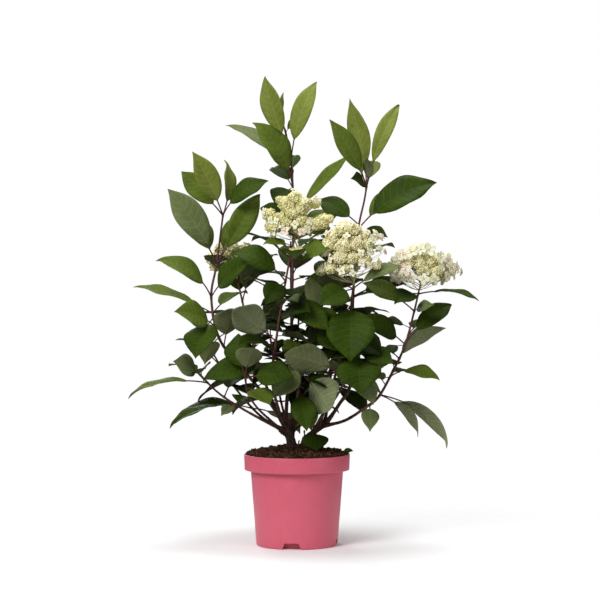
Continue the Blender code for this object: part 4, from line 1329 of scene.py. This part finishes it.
# %% Charts of the flower heads
HEADS = {
    "front_upright": ((-10, -6, 60), 82, 60),
    "middle_upright": ((8, -10, 60), 100, 60),
    "right_side": ((12, -4, 60), 84, 62),
    "back_left": ((-16, 10, 60), 80, 50),
    "back_right": ((12, 18, 60), 86, 54),
}
UMBELS_IN_FRONT = {
    "front_upright": (
        (-45, 47, 11), (-34, 27, 15), (-15, 30, 15), (6, 22, 15), (24, 25, 13), (43, 33, 14),
        (-13, 66, 14), (2, 76, 13), (17, 64, 15), (34, 66, 10), (-4, 48, 15), (-26, 72, 7), (60, 38, 10),
        (-24, 38, 13), (14, 34, 14), (33, 28, 13), (52, 36, 12), (-6, 57, 13), (12, 54, 12),
        (10, -16, 9), (-4, -20, 7),
    ),
    "middle_upright": (
        (-17, 99, 15), (2, 96, 13), (-34, 86, 13), (22, 88, 9), (-42, 70, 14), (-20, 70, 17), (3, 71, 16),
        (24, 73, 12), (-24, 47, 15), (-2, 47, 14), (20, 44, 12), (-41, 29, 13), (-55, 24, 9), (-15, 26, 10),
        (38, 34, 8), (-52, 56, 8),
    ),
    "right_side": (
        (0, 54, 16), (-17, 51, 13), (21, 54, 13), (7, 42, 13), (31, 38, 12), (26, 27, 8), (-11, 61, 11),
        (14, 63, 11), (-28, 44, 9), (42, 50, 9),
    ),
}
FLOWERS_IN_FRONT = {
    "front_upright": (
        (-50, 50, 8), (-38, 16, 9), (50, 33, 9), (60, 40, 7), (40, 70, 9), (-26, 24, 8), (14, 16, 8),
        (30, 36, 8), (-2, 86, 6), (16, -18, 6), (-44, 34, 9), (-14, 20, 9), (2, 28, 8), (24, 18, 9),
        (38, 26, 9), (-30, 36, 7), (20, 70, 7),
    ),
    "middle_upright": (
        (40, 88, 9), (31, 78, 9), (50, 84, 7), (-56, 30, 8), (44, 38, 8), (-46, 88, 7), (56, 60, 6),
        (14, 58, 7), (-8, 104, 7), (-30, 50, 7), (10, 36, 8), (30, 60, 8), (-12, 84, 7), (-40, 42, 8),
        (24, 92, 7), (28, 36, 8), (-20, 24, 8), (0, 20, 7), (44, 66, 8),
    ),
    "right_side": (
        (-36, 57, 13), (-27, 38, 13), (-46, 43, 13), (-36, 26, 12), (-15, 69, 14), (17, 72, 14),
        (38, 62, 14), (54, 58, 14), (52, 42, 13), (67, 46, 12), (46, 26, 12), (76, 38, 8), (2, 74, 13),
        (-28, 64, 13), (28, 22, 11), (-14, 26, 11), (8, 24, 10), (40, 52, 12), (-42, 32, 9), (62, 32, 10),
    ),
}
print("umbels in the charts:", sum(len(rows) for rows in UMBELS_IN_FRONT.values()))

# %% Places of the umbels and sterile flowers
UMBEL_DEPTH = 0.55
FLOWER_DEPTH = 1.0
PLACE_SCATTER = 2.5
MIDDLE_FROM = 11.5
CHART_ROUNDING = (0.12, 0.6)
FACING_CHANGE = (14, 0.35, 6)
UMBELS_BEHIND = (16, 13.0, 0.45, 0.82)
FLOWERS_BEHIND = (13, 10.0, 0.85, 0.98)
SIZES_BEHIND = (0.85, 1.15)
DOME_SHARE = 0.93
DOME_FOOT, DOME_RISE = 0.34, 0.66
DOME_SCATTER = 0.25
FACING_UP = 0.25
GOLDEN_ANGLE = math.radians(137.5)
HEAD_SEED = 71


def head_frame(head):
    """The head's axis and two directions square to it."""
    axis = Vector(head["axis"]).normalized()
    across = axis.cross(Vector((0, 1, 0))).normalized()
    return axis, across, axis.cross(across)


def charted_points(head, rows, depth, seed, ways):
    """Each row of the chart gives a place in front of the head's axis, a twin behind and one between."""
    dice = random.Random(seed)
    outward, rise, fall = FACING_CHANGE
    for across, up, size in rows:
        flatness = math.sqrt(max(CHART_ROUNDING[0], 1 - (across / head["spread"]) ** 2))
        deep = depth * flatness * head["spread"] * CHART_ROUNDING[1]
        for way in ways if size > MIDDLE_FROM else ways[:2]:
            shift = Vector([dice.uniform(-PLACE_SCATTER, PLACE_SCATTER) for _ in range(3)])
            offset = Vector((across, way * deep, up)) + shift
            facing = Vector((across, way * (deep + outward), up * rise - fall)).normalized()
            yield head["foot"] + offset, facing, size


def spiral_points(head, seed, count, size, inner, outer):
    """Places on a dome round the head's axis, between an inner and an outer share of its spread."""
    dice = random.Random(seed)
    axis, across, back = head_frame(head)
    for index in range(count):
        share = (index + 0.5) / count
        tilt = math.acos(1 - share * DOME_SHARE)
        turn = index * GOLDEN_ANGLE + dice.uniform(-DOME_SCATTER, DOME_SCATTER)
        deep = dice.uniform(inner, outer)
        out = (across * math.cos(turn) + back * math.sin(turn)) * math.sin(tilt)
        place = head["foot"] + axis * (head["height"] * (DOME_FOOT + DOME_RISE * math.cos(tilt) * deep))
        facing = (out + axis * (math.cos(tilt) + FACING_UP)).normalized()
        yield place + out * (head["spread"] * deep), facing, size * dice.uniform(*SIZES_BEHIND)


def head_places(name, head, number):
    if name in UMBELS_IN_FRONT:
        umbels = charted_points(head, UMBELS_IN_FRONT[name], UMBEL_DEPTH, HEAD_SEED, (-1, 1, 0))
        flowers = charted_points(head, FLOWERS_IN_FRONT[name], FLOWER_DEPTH, HEAD_SEED + 1, (-1, 1))
    else:
        umbels = spiral_points(head, HEAD_SEED + number, *UMBELS_BEHIND)
        flowers = spiral_points(head, HEAD_SEED + number + 100, *FLOWERS_BEHIND)
    return umbels, flowers


print("umbels on a head behind:", UMBELS_BEHIND[0], "and sterile flowers:", FLOWERS_BEHIND[0])

# %% Blossom materials
def make_petal(name, dark, light, roughness):
    material, tree, shader, place = start_material(name)
    base = use(tree, MOTTLE, {"Position": place, "Scale": 90.0, "Contrast": 1.2,
                              "Dark": (*dark, 1), "Light": (*light, 1)})
    fibre = use(tree, GRAIN, {"Position": place, "Scale": 900.0, "Stretch": (1, 1, 1)})
    finish_material(tree, shader, base.outputs["Colour"], roughness, fibre.outputs["Height"], 0.3,
                    FINE_RELIEF)
    return material


BUDS = [
    make_petal("bud_cream", (0.62, 0.57, 0.26), (0.84, 0.79, 0.47), 0.8),
    make_petal("bud_green", (0.44, 0.45, 0.12), (0.66, 0.63, 0.26), 0.8),
    make_petal("bud_white", (0.78, 0.71, 0.42), (0.91, 0.86, 0.60), 0.8),
]
SEPALS = [
    make_petal("sepal_cream", (0.72, 0.70, 0.46), (0.88, 0.86, 0.66), 0.62),
    make_petal("sepal_pink", (0.76, 0.62, 0.48), (0.90, 0.80, 0.68), 0.62),
]
FLOWER_STALK = make_petal("flower_stalk", (0.36, 0.34, 0.14), (0.56, 0.52, 0.26), 0.6)
print("blossom materials:", len(BUDS) + len(SEPALS) + 1)

# %% [markdown]
# A bud is a ball of only twenty faces, because thousands of them are needed. An umbel is a flattened
# ball of buds on fine stalks. A larger ball in its heart stands for the buds deep inside, which nobody
# sees one by one. A sepal starts as a small grid, is drawn in at both ends and cupped a little.

# %% Buds and umbels
BUD_RADIUS = 1.75
UMBEL_DENSITY = 0.92
UMBEL_SQUASH = 0.88
HEART_SHARE = 0.8
BUDS_PER_STALK = 9
UMBEL_CAP = 1.75
UMBEL_TURN = 0.3
LUMP_MEAN, LUMP_CHANGE = 0.88, 0.26
BUD_PLACES = (0.86, 1.06)
BUD_SIZES = (0.7, 1.2)
BUD_STALK = (0.45, 0.35)
BUD_MIX = {
    "front_upright": (0, 0, 1, 0),
    "middle_upright": (0, 0, 2, 2),
    "right_side": (0, 0, 1, 2, 2),
    "back_left": (0, 0, 1, 2),
    "back_right": (0, 0, 1, 2),
}


def add_bud(bm, place, size, slot, finer=1):
    bud = bmesh.ops.create_icosphere(bm, subdivisions=finer, radius=size * MM)["verts"]
    bmesh.ops.translate(bm, verts=bud, vec=place * MM)
    paint(bud, slot)


def add_umbel(bm, twigs, place, size, mix, dice):
    """A flattened ball of buds on fine stalks, round a heart that stands for the buds deep inside."""
    part = bmesh.new()
    add_bud(part, place, size * HEART_SHARE, mix[-1], 2)
    count = round(UMBEL_DENSITY * size * size)
    thick, thin = BUD_STALK
    for index in range(count):
        height = 1 - UMBEL_CAP * (index + 0.5) / count
        turn = index * GOLDEN_ANGLE + dice.uniform(-UMBEL_TURN, UMBEL_TURN)
        flat = math.sqrt(max(0.0, 1 - height * height))
        way = Vector((flat * math.cos(turn), flat * math.sin(turn), height * UMBEL_SQUASH))
        lump = LUMP_MEAN + LUMP_CHANGE * noise.noise(place * 0.7 + way * 2.1)
        spot = place + way * (size * lump * dice.uniform(*BUD_PLACES))
        shade = dice.choice(mix if height > 0 else (*mix, 1, 1))
        add_bud(part, spot, BUD_RADIUS * dice.uniform(*BUD_SIZES), shade)
        if index % BUDS_PER_STALK == 0:
            grow_tube(twigs, 3, [(place, way, thick, 0.0), (spot, way, thin, size)])
    join_in(bm, part)


print("buds in an umbel of 15 mm:", round(UMBEL_DENSITY * 15 * 15))

# %% Sterile flowers and side stalks
SEPAL_ROWS = 4
SEPAL_THICKNESS = 0.25
SEPAL_LENGTHS = (0.86, 1.1)
SEPAL_DROOP = (-0.1, 0.35)
SEPAL_HALF_WIDTH = 0.42
SEPAL_CUP = 0.22
SEPAL_RISE = 0.18
STALK_SAG = 0.08
STALK_TAPER = 0.35
STALK_MARKS = (0, 0.3, 0.6, 1)


def add_flower(bm, place, facing, size, turn, slot, dice):
    """Four broad sepals round a bud, each a small grid drawn into a cupped, rounded leaf."""
    for quarter in range(4):
        grid = bmesh.ops.create_grid(bm, x_segments=4, y_segments=SEPAL_ROWS, size=1.0)["verts"]
        length = size * dice.uniform(*SEPAL_LENGTHS)
        droop = dice.uniform(*SEPAL_DROOP)
        for vert in grid:
            s, v = vert.co.x, (vert.co.y + 1) / 2
            half = length * SEPAL_HALF_WIDTH * math.sin(math.pi * (0.08 + 0.84 * v ** 0.8)) ** 0.6
            lift = SEPAL_CUP * half * s * s + length * (SEPAL_RISE * v - droop * v * v)
            vert.co = Vector((s * half, length * v, lift)) * MM
        spin = Matrix.Rotation(turn + quarter * math.pi / 2, 4, "Z")
        aim = facing.to_track_quat("Z", "Y").to_matrix().to_4x4()
        bmesh.ops.transform(bm, matrix=Matrix.Translation(place * MM) @ aim @ spin, verts=grid)
        paint(grid, slot)


def twig_between(bm, start, end, radius, sides=5):
    """A slightly bowed stalk between two points."""
    middle = (start + end) / 2 + Vector((0, 0, -STALK_SAG * (end - start).length))
    bow = Line([start, middle, end])
    stations = [(*bow.at(bow.length * f), radius * (1 - STALK_TAPER * f), bow.length * f)
                for f in STALK_MARKS]
    grow_tube(bm, sides, stations)


print("flower helpers:", add_flower.__name__, twig_between.__name__)

# %% Building the five heads
CORE_SHARE = 0.72
CORE_LEAD = 12.0
CORE_RADIUS = 1.7
CORE_STEP = 6.0
UMBEL_STALK = 0.85
FLOWER_STALK_RADIUS = 0.5
PINK_SHARE = 0.18
CORE_TAPER = 0.5
CORE_LIMITS = (0.05, 0.95)
UMBEL_LEAD = 22.0
FLOWER_LEAD = 26.0
FLOWER_SIZES = (0.9, 1.1)
FLOWER_BUD_SHARE = 0.85


def make_head(name, head, number):
    axis = head_frame(head)[0]
    top = head["foot"] + axis * (head["height"] * CORE_SHARE)
    core = Line([head["foot"], head["foot"] + head["along"] * CORE_LEAD, (head["foot"] + top) / 2, top])
    dice = random.Random(HEAD_SEED + number)
    umbels, flowers = head_places(name, head, number)
    buds, sepals, twigs = bmesh.new(), bmesh.new(), bmesh.new()
    def core_radius(distance):
        return CORE_RADIUS * (1 - CORE_TAPER * distance / core.length)
    def start_for(place, lead):
        """A side stalk leaves the core well below the height of its umbel or flower."""
        rise = (place - head["foot"]).dot(axis) - lead
        lowest, highest = CORE_LIMITS
        return core.at(core.length * min(highest, max(lowest, rise / core.length)))[0]
    grow_tube(twigs, 6, list(line_stations(core, 0.0, core.length, CORE_STEP, core_radius)))
    for place, _, size in umbels:
        twig_between(twigs, start_for(place, UMBEL_LEAD), place, UMBEL_STALK)
        add_umbel(buds, twigs, place, size, BUD_MIX[name], dice)
    for place, facing, size in flowers:
        twig_between(twigs, start_for(place, FLOWER_LEAD), place, FLOWER_STALK_RADIUS, 4)
        turn = dice.uniform(0, math.tau)
        grown = size * dice.uniform(*FLOWER_SIZES)
        slot = int(dice.random() < PINK_SHARE)
        add_flower(sepals, place, facing, grown, turn, slot, dice)
        add_bud(buds, place + facing, BUD_RADIUS * FLOWER_BUD_SHARE, 1)
    node = f"flower_head_{name}"
    make_piece(f"flower_twigs_{name}", twigs, [FLOWER_STALK], [node], "stem")
    make_piece(f"buds_{name}", buds, BUDS, [node], "blossom")
    piece = make_piece(f"sepals_{name}", sepals, SEPALS, [node], "blossom")
    solid = piece.modifiers.new("thickness", "SOLIDIFY")
    solid.thickness = SEPAL_THICKNESS * MM
    solid.offset = 0.0


for number, (name, (axis, height, spread)) in enumerate(HEADS.items()):
    foot, along = stems[name]["line"].at(stems[name]["line"].length)
    head = {"foot": foot, "along": along, "axis": axis, "height": height, "spread": spread}
    make_head(name, head, number)

# %% [markdown]
# ## The pot
#
# A nursery pot of moulded plastic is a round shape: a straight rim band, a ledge under it, a tapering
# body and a flat foot with four small drainage alcoves. A Screw modifier could turn it, but the spin
# operator gives a plain mesh at once, whose sharp corners are then bevelled. The hollow is a second such
# shape. A Boolean cuts it out, and cuts the wedges of the alcoves from the foot.

# %% Pot material
PINK = ((0.540, 0.082, 0.130), (0.605, 0.100, 0.158))
DUST = (0.12, 0.05, 0.04)
DUST_AT_RIM = (146 * MM, 163 * MM)
DUST_AT_FOOT = (16 * MM, 0.0)


def make_pot_plastic():
    material, tree, shader, place = start_material("pink_plastic")
    dark, light = PINK
    base = use(tree, MOTTLE, {"Position": place, "Scale": 9.0, "Contrast": 0.9,
                              "Dark": (*dark, 1), "Light": (*light, 1)})
    height = add(tree, "ShaderNodeSeparateXYZ", {0: place}).outputs["Z"]
    bands = [
        add(tree, "ShaderNodeMapRange", {"Value": height, "From Min": clean, "From Max": dusty}).outputs[0]
        for clean, dusty in (DUST_AT_RIM, DUST_AT_FOOT)
    ]
    near = add(tree, "ShaderNodeMath", {0: bands[0], 1: bands[1]}, operation="MAXIMUM")
    specks = use(tree, SPECKS, {"Position": place, "Scale": 420.0, "Amount": 0.19})
    dust = add(tree, "ShaderNodeMath", {0: specks.outputs["Mask"], 1: near.outputs[0]},
               operation="MULTIPLY")
    faint = add(tree, "ShaderNodeMath", {0: dust.outputs[0], 1: 0.55}, operation="MULTIPLY")
    colour = between(tree, faint.outputs[0], base.outputs["Colour"], DUST)
    grain = use(tree, GRAIN, {"Position": place, "Scale": 380.0, "Stretch": (1, 1, 1)})
    matt = add(tree, "ShaderNodeMapRange", {"Value": base.outputs["Mask"], "To Min": 0.38, "To Max": 0.50})
    finish_material(tree, shader, colour, matt.outputs[0], grain.outputs["Height"], 0.25, FINE_RELIEF)
    return material


POT_PLASTIC = make_pot_plastic()
print("pot material:", POT_PLASTIC.name)

# %% Spinning profiles
POT_STEPS = 120
SAME_POINT = 0.01 * MM


def spin_profile(name, profile, rounded=(), offset=0.0):
    """Turns (radius, height) points round Z. Corners whose numbers are in rounded are bevelled."""
    bm = bmesh.new()
    verts = [bm.verts.new((radius * MM, 0.0, height * MM)) for radius, height in profile]
    edges = [bm.edges.new(pair) for pair in zip(verts, verts[1:])]
    corners = [verts[index].co.copy() for index in rounded]
    bmesh.ops.spin(bm, geom=verts + edges, cent=(0, 0, 0), axis=(0, 0, 1), angle=math.tau,
                   steps=POT_STEPS, use_merge=True)
    bmesh.ops.remove_doubles(bm, verts=bm.verts, dist=SAME_POINT)
    def is_at(vert, corner):
        away = math.hypot(vert.co.x, vert.co.y)
        return abs(away - corner.x) < SAME_POINT and abs(vert.co.z - corner.z) < SAME_POINT
    rings = [edge for corner in corners for edge in bm.edges
             if all(is_at(vert, corner) for vert in edge.verts)]
    if rings:
        bmesh.ops.bevel(bm, geom=rings, offset=offset * MM, offset_type="OFFSET", segments=3, profile=0.5,
                        affect="EDGES", material=-1)
    bmesh.ops.recalc_face_normals(bm, faces=bm.faces)
    for face in bm.faces:
        face.smooth = True
    return make_object(name, bm)


print("steps round the pot:", POT_STEPS)

# %% Alcoves and cuts
CUT_PAST = 5.0
ALCOVE_PAST = 12.0


def alcove_wedges(name, margin):
    """The four wedges of the drainage alcoves in one mesh, wider by a margin on every side."""
    bm = bmesh.new()
    reach = ALCOVE_REACH + margin
    for index in range(ALCOVE_COUNT):
        cube = bmesh.ops.create_cube(bm, size=1.0)["verts"]
        for vert in cube:
            upper = vert.co.z > 0
            half = (ALCOVE_TOP_WIDTH if upper else ALCOVE_FOOT_WIDTH) / 2 + margin
            vert.co.x = (BASE_RADIUS + ALCOVE_PAST if vert.co.x > 0 else BASE_RADIUS - reach) * MM
            vert.co.y = math.copysign(half, vert.co.y) * MM
            vert.co.z = (ALCOVE_HEIGHT + margin if upper else -CUT_PAST - margin) * MM
        turn = math.radians(ALCOVE_TURN + 360.0 / ALCOVE_COUNT * index)
        bmesh.ops.rotate(bm, verts=cube, cent=(0, 0, 0), matrix=Matrix.Rotation(turn, 3, "Z"))
    return make_object(name, bm)


def cut(obj, cutter):
    """Takes one closed mesh from another, and removes the cutter."""
    modifier = obj.modifiers.new("cut", "BOOLEAN")
    modifier.operation = "DIFFERENCE"
    modifier.solver = "EXACT"
    modifier.object = cutter
    bpy.context.view_layer.update()
    mesh = bpy.data.meshes.new_from_object(obj.evaluated_get(bpy.context.evaluated_depsgraph_get()))
    obj.modifiers.clear()
    obj.data = mesh
    bpy.data.objects.remove(cutter, do_unlink=True)


print("cutting helpers:", alcove_wedges.__name__, cut.__name__)

# %% Pot
LEDGE_SLOPE = 2.0
POT_SHARP = 32


def make_pot():
    shoulder = POT_HEIGHT - RIM_DEPTH
    outside = [
        (0.0, POT_HEIGHT), (RIM_RADIUS, POT_HEIGHT), (RIM_RADIUS - RIM_TAPER, shoulder),
        (SHOULDER_RADIUS, shoulder), (BASE_RADIUS, 0.0), (0.0, 0.0),
    ]
    pot = spin_profile("pot_shell", outside, rounded=(1, 2, 4), offset=EDGE_ROUNDING)
    ledge = shoulder + WALL + LEDGE_EXTRA
    taper = (SHOULDER_RADIUS - BASE_RADIUS) / shoulder
    floor_radius = BASE_RADIUS + taper * WALL - WALL
    inside = [
        (0.0, POT_HEIGHT + CUT_PAST), (RIM_RADIUS - WALL, POT_HEIGHT + CUT_PAST),
        (RIM_RADIUS - RIM_TAPER - WALL, ledge + LEDGE_SLOPE), (SHOULDER_RADIUS - WALL, ledge),
        (floor_radius, WALL), (0.0, WALL),
    ]
    cavity = spin_profile("cavity", inside)
    cut(cavity, alcove_wedges("alcove_walls", WALL))
    cut(pot, alcove_wedges("alcoves", 0.0))
    cut(pot, cavity)
    mesh = pot.data
    mesh.materials.clear()
    mesh.materials.append(POT_PLASTIC)
    mesh.shade_smooth()
    mesh.set_sharp_from_angle(angle=math.radians(POT_SHARP))
    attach(pot, "root")
    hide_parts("pot")
    print("pot_shell:", len(mesh.polygons), "faces")


make_pot()

# %% [markdown]
# ## The soil
#
# Peat is not a smooth disc. A grid is laid over the mouth of the pot as a round sheet, lifted into the
# low mound, and roughened by three sizes of noise. A Displace modifier could do that, but the crumbs have
# to know how high the soil is where they fall, so one function gives the height to both. Crumbs, bark
# chips and a few fibres lie on it and over the edge of the rim, each a small shape of twenty faces at
# most, all joined into one piece.

# %% Soil materials
SOIL_RELIEF = 1.5 * MM
SOIL_SHINE = 0.12


def make_soil_material(name, dark, light, scale):
    material, tree, shader, place = start_material(name)
    base = use(tree, MOTTLE, {"Position": place, "Scale": scale, "Contrast": 1.4,
                              "Dark": (*dark, 1), "Light": (*light, 1)})
    grain = use(tree, GRAIN, {"Position": place, "Scale": scale * 7, "Stretch": (1, 1, 1)})
    finish_material(tree, shader, base.outputs["Colour"], 0.93, grain.outputs["Height"], 0.9, SOIL_RELIEF)
    shader.inputs["Specular IOR Level"].default_value = SOIL_SHINE
    return material


PEAT = make_soil_material("peat", (0.005, 0.003, 0.002), (0.056, 0.026, 0.014), 130.0)
CHIP = make_soil_material("bark_chip", (0.026, 0.010, 0.005), (0.170, 0.072, 0.036), 90.0)
FIBRE = make_soil_material("fibre", (0.110, 0.062, 0.032), (0.230, 0.150, 0.085), 90.0)
print("soil materials: 3")

# %% Soil
SOIL_CELLS = 96
SOIL_SHARP = 40
LUMPS = ((0.06, 3.1, 3.6), (0.17, 7.7, 2.6), (0.45, 1.3, 1.2))
CALM_EDGE, CALM_SPAN, CALM_LEAST = 93.0, 12, 0.12
MOUND = ((0.0, 174.0), (30.0, 174.0), (50.0, 170.0), (88.9, 163.4), (92.9, 162.4))


def soil_height(x, y):
    away = math.hypot(x, y)
    height = MOUND[-1][1]
    for (near, high), (far, low) in zip(MOUND, MOUND[1:]):
        if near <= away <= far:
            height = high + (low - high) * (away - near) / (far - near)
            break
    rough = min(1.0, max(CALM_LEAST, (CALM_EDGE - away) / CALM_SPAN))
    lumps = 0.0
    for scale, seed, size in LUMPS:
        lumps += noise.noise(Vector((x * scale, y * scale, seed))) * size
    return height + lumps * rough


def make_soil():
    bm = bmesh.new()
    bmesh.ops.create_grid(bm, x_segments=SOIL_CELLS, y_segments=SOIL_CELLS, size=1.0)
    brim = RIM_RADIUS - WALL - GAP
    for vert in bm.verts:
        u, v = vert.co.x, vert.co.y
        x, y = u * math.sqrt(1 - v * v / 2) * brim, v * math.sqrt(1 - u * u / 2) * brim
        vert.co = Vector((x, y, soil_height(x, y))) * MM
    shoulder = POT_HEIGHT - RIM_DEPTH + WALL + LEDGE_EXTRA + GAP
    below = ((brim - 1.0, shoulder + LEDGE_SLOPE), (SHOULDER_RADIUS - WALL - 1.0, shoulder),
             (BASE_RADIUS - ALCOVE_REACH - 1.0, WALL + GAP))
    rim = [edge for edge in bm.edges if edge.is_boundary]
    for radius, height in below:
        made = bmesh.ops.extrude_edge_only(bm, edges=rim)["geom"]
        for vert in [item for item in made if isinstance(item, bmesh.types.BMVert)]:
            flat = Vector((vert.co.x, vert.co.y)).normalized() * radius * MM
            vert.co = (flat.x, flat.y, height * MM)
        rim = [item for item in made if isinstance(item, bmesh.types.BMEdge) and item.is_boundary]
    bmesh.ops.holes_fill(bm, edges=rim, sides=0)
    bmesh.ops.recalc_face_normals(bm, faces=bm.faces)
    for face in bm.faces:
        face.smooth = True
    make_piece("soil_mound", bm, [PEAT], ["soil"], "soil", sharp=SOIL_SHARP)


make_soil()

# %% Shapes of crumbs, chips and fibres
CRUMB_UNEVEN, CRUMB_SIZES, CRUMB_STRETCH = (0.7, 1.2), (0.7, 2.3), (0.8, 1.3)
CRUMB_FLATNESS, CRUMB_SINK, CRUMB_SLOTS = 0.75, 0.35, (0, 0, 0, 1, 1)
LARGE_CRUMB, LARGE_SHARE = 2.0, 0.12
CHIP_UNEVEN, CHIP_SINK = (0.75, 1.15), 0.9
CHIP_SIZES = ((1.6, 4.4), (1.0, 2.0), (0.4, 0.8))
FIBRE_RADII, FIBRE_LENGTHS, FIBRE_SINK = (0.35, 0.2), (2.5, 7.0), 1.2


def make_crumb(bm, dice):
    """Each shape gives its vertices, its size, its material slot and how high it stands out."""
    verts = bmesh.ops.create_icosphere(bm, subdivisions=1, radius=MM)["verts"]
    for vert in verts:
        vert.co *= dice.uniform(*CRUMB_UNEVEN)
    size = dice.uniform(*CRUMB_SIZES) * (LARGE_CRUMB if dice.random() < LARGE_SHARE else 1.0)
    sizes = (size * dice.uniform(*CRUMB_STRETCH), size, size * CRUMB_FLATNESS)
    return verts, sizes, dice.choice(CRUMB_SLOTS), CRUMB_SINK


def make_chip(bm, dice):
    verts = bmesh.ops.create_cube(bm, size=2.0 * MM)["verts"]
    for vert in verts:
        vert.co *= dice.uniform(*CHIP_UNEVEN)
    return verts, tuple(dice.uniform(*limits) for limits in CHIP_SIZES), 1, CHIP_SINK


def make_fibre(bm, dice):
    thick, thin = FIBRE_RADII
    verts = bmesh.ops.create_cone(bm, cap_ends=True, segments=4, radius1=thick * MM, radius2=thin * MM,
                                  depth=2.0 * MM)["verts"]
    bmesh.ops.rotate(bm, verts=verts, cent=(0, 0, 0), matrix=Matrix.Rotation(math.radians(90), 3, "Y"))
    return verts, (dice.uniform(*FIBRE_LENGTHS), 1.0, 1.0), 2, FIBRE_SINK


print("shapes of the litter:", make_crumb.__name__, make_chip.__name__, make_fibre.__name__)

# %% Laying the litter
LITTER = ((make_crumb, 1500), (make_chip, 190), (make_fibre, 46))
BATCH = 40
LITTER_SEED = 905
INSIDE_EDGE = 0.4
ON_RIM = 2.5
UPRIGHT = 1.5


def settle(bm, verts, size, slot, sink, dice):
    """Turns a shape at random and lays it on the soil, or on the rim where it falls there."""
    away = (RIM_RADIUS - INSIDE_EDGE - max(size)) * math.sqrt(dice.random())
    bearing = dice.uniform(0, math.tau)
    x, y = away * math.cos(bearing), away * math.sin(bearing)
    z = soil_height(x, y)
    if away > RIM_RADIUS - WALL - ON_RIM:
        z = max(POT_HEIGHT, z)
    axis = Vector((dice.gauss(0, 1), dice.gauss(0, 1), UPRIGHT)).normalized()
    turn = Matrix.Rotation(dice.uniform(0, math.tau), 4, axis)
    place = Matrix.Translation(Vector((x, y, z + size[2] * sink)) * MM)
    bmesh.ops.transform(bm, matrix=place @ turn @ Matrix.Diagonal((*size, 1.0)), verts=verts)
    paint(verts, slot, smooth=False)


def make_litter():
    dice = random.Random(LITTER_SEED)
    bm = bmesh.new()
    for shape, count in LITTER:
        for first in range(0, count, BATCH):
            part = bmesh.new()
            for _ in range(min(BATCH, count - first)):
                settle(part, *shape(part, dice), dice)
            join_in(bm, part)
    make_piece("soil_crumbs", bm, [PEAT, CHIP, FIBRE], ["soil"], "soil")


make_litter()

# %% Measure and finish
visual_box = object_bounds()
sizes = {"cad": [list(corner) for corner in cad_box], "visual": [list(corner) for corner in visual_box]}
for box, corners in sizes.items():
    print(box, [[round(value, 4) for value in corner] for corner in corners])
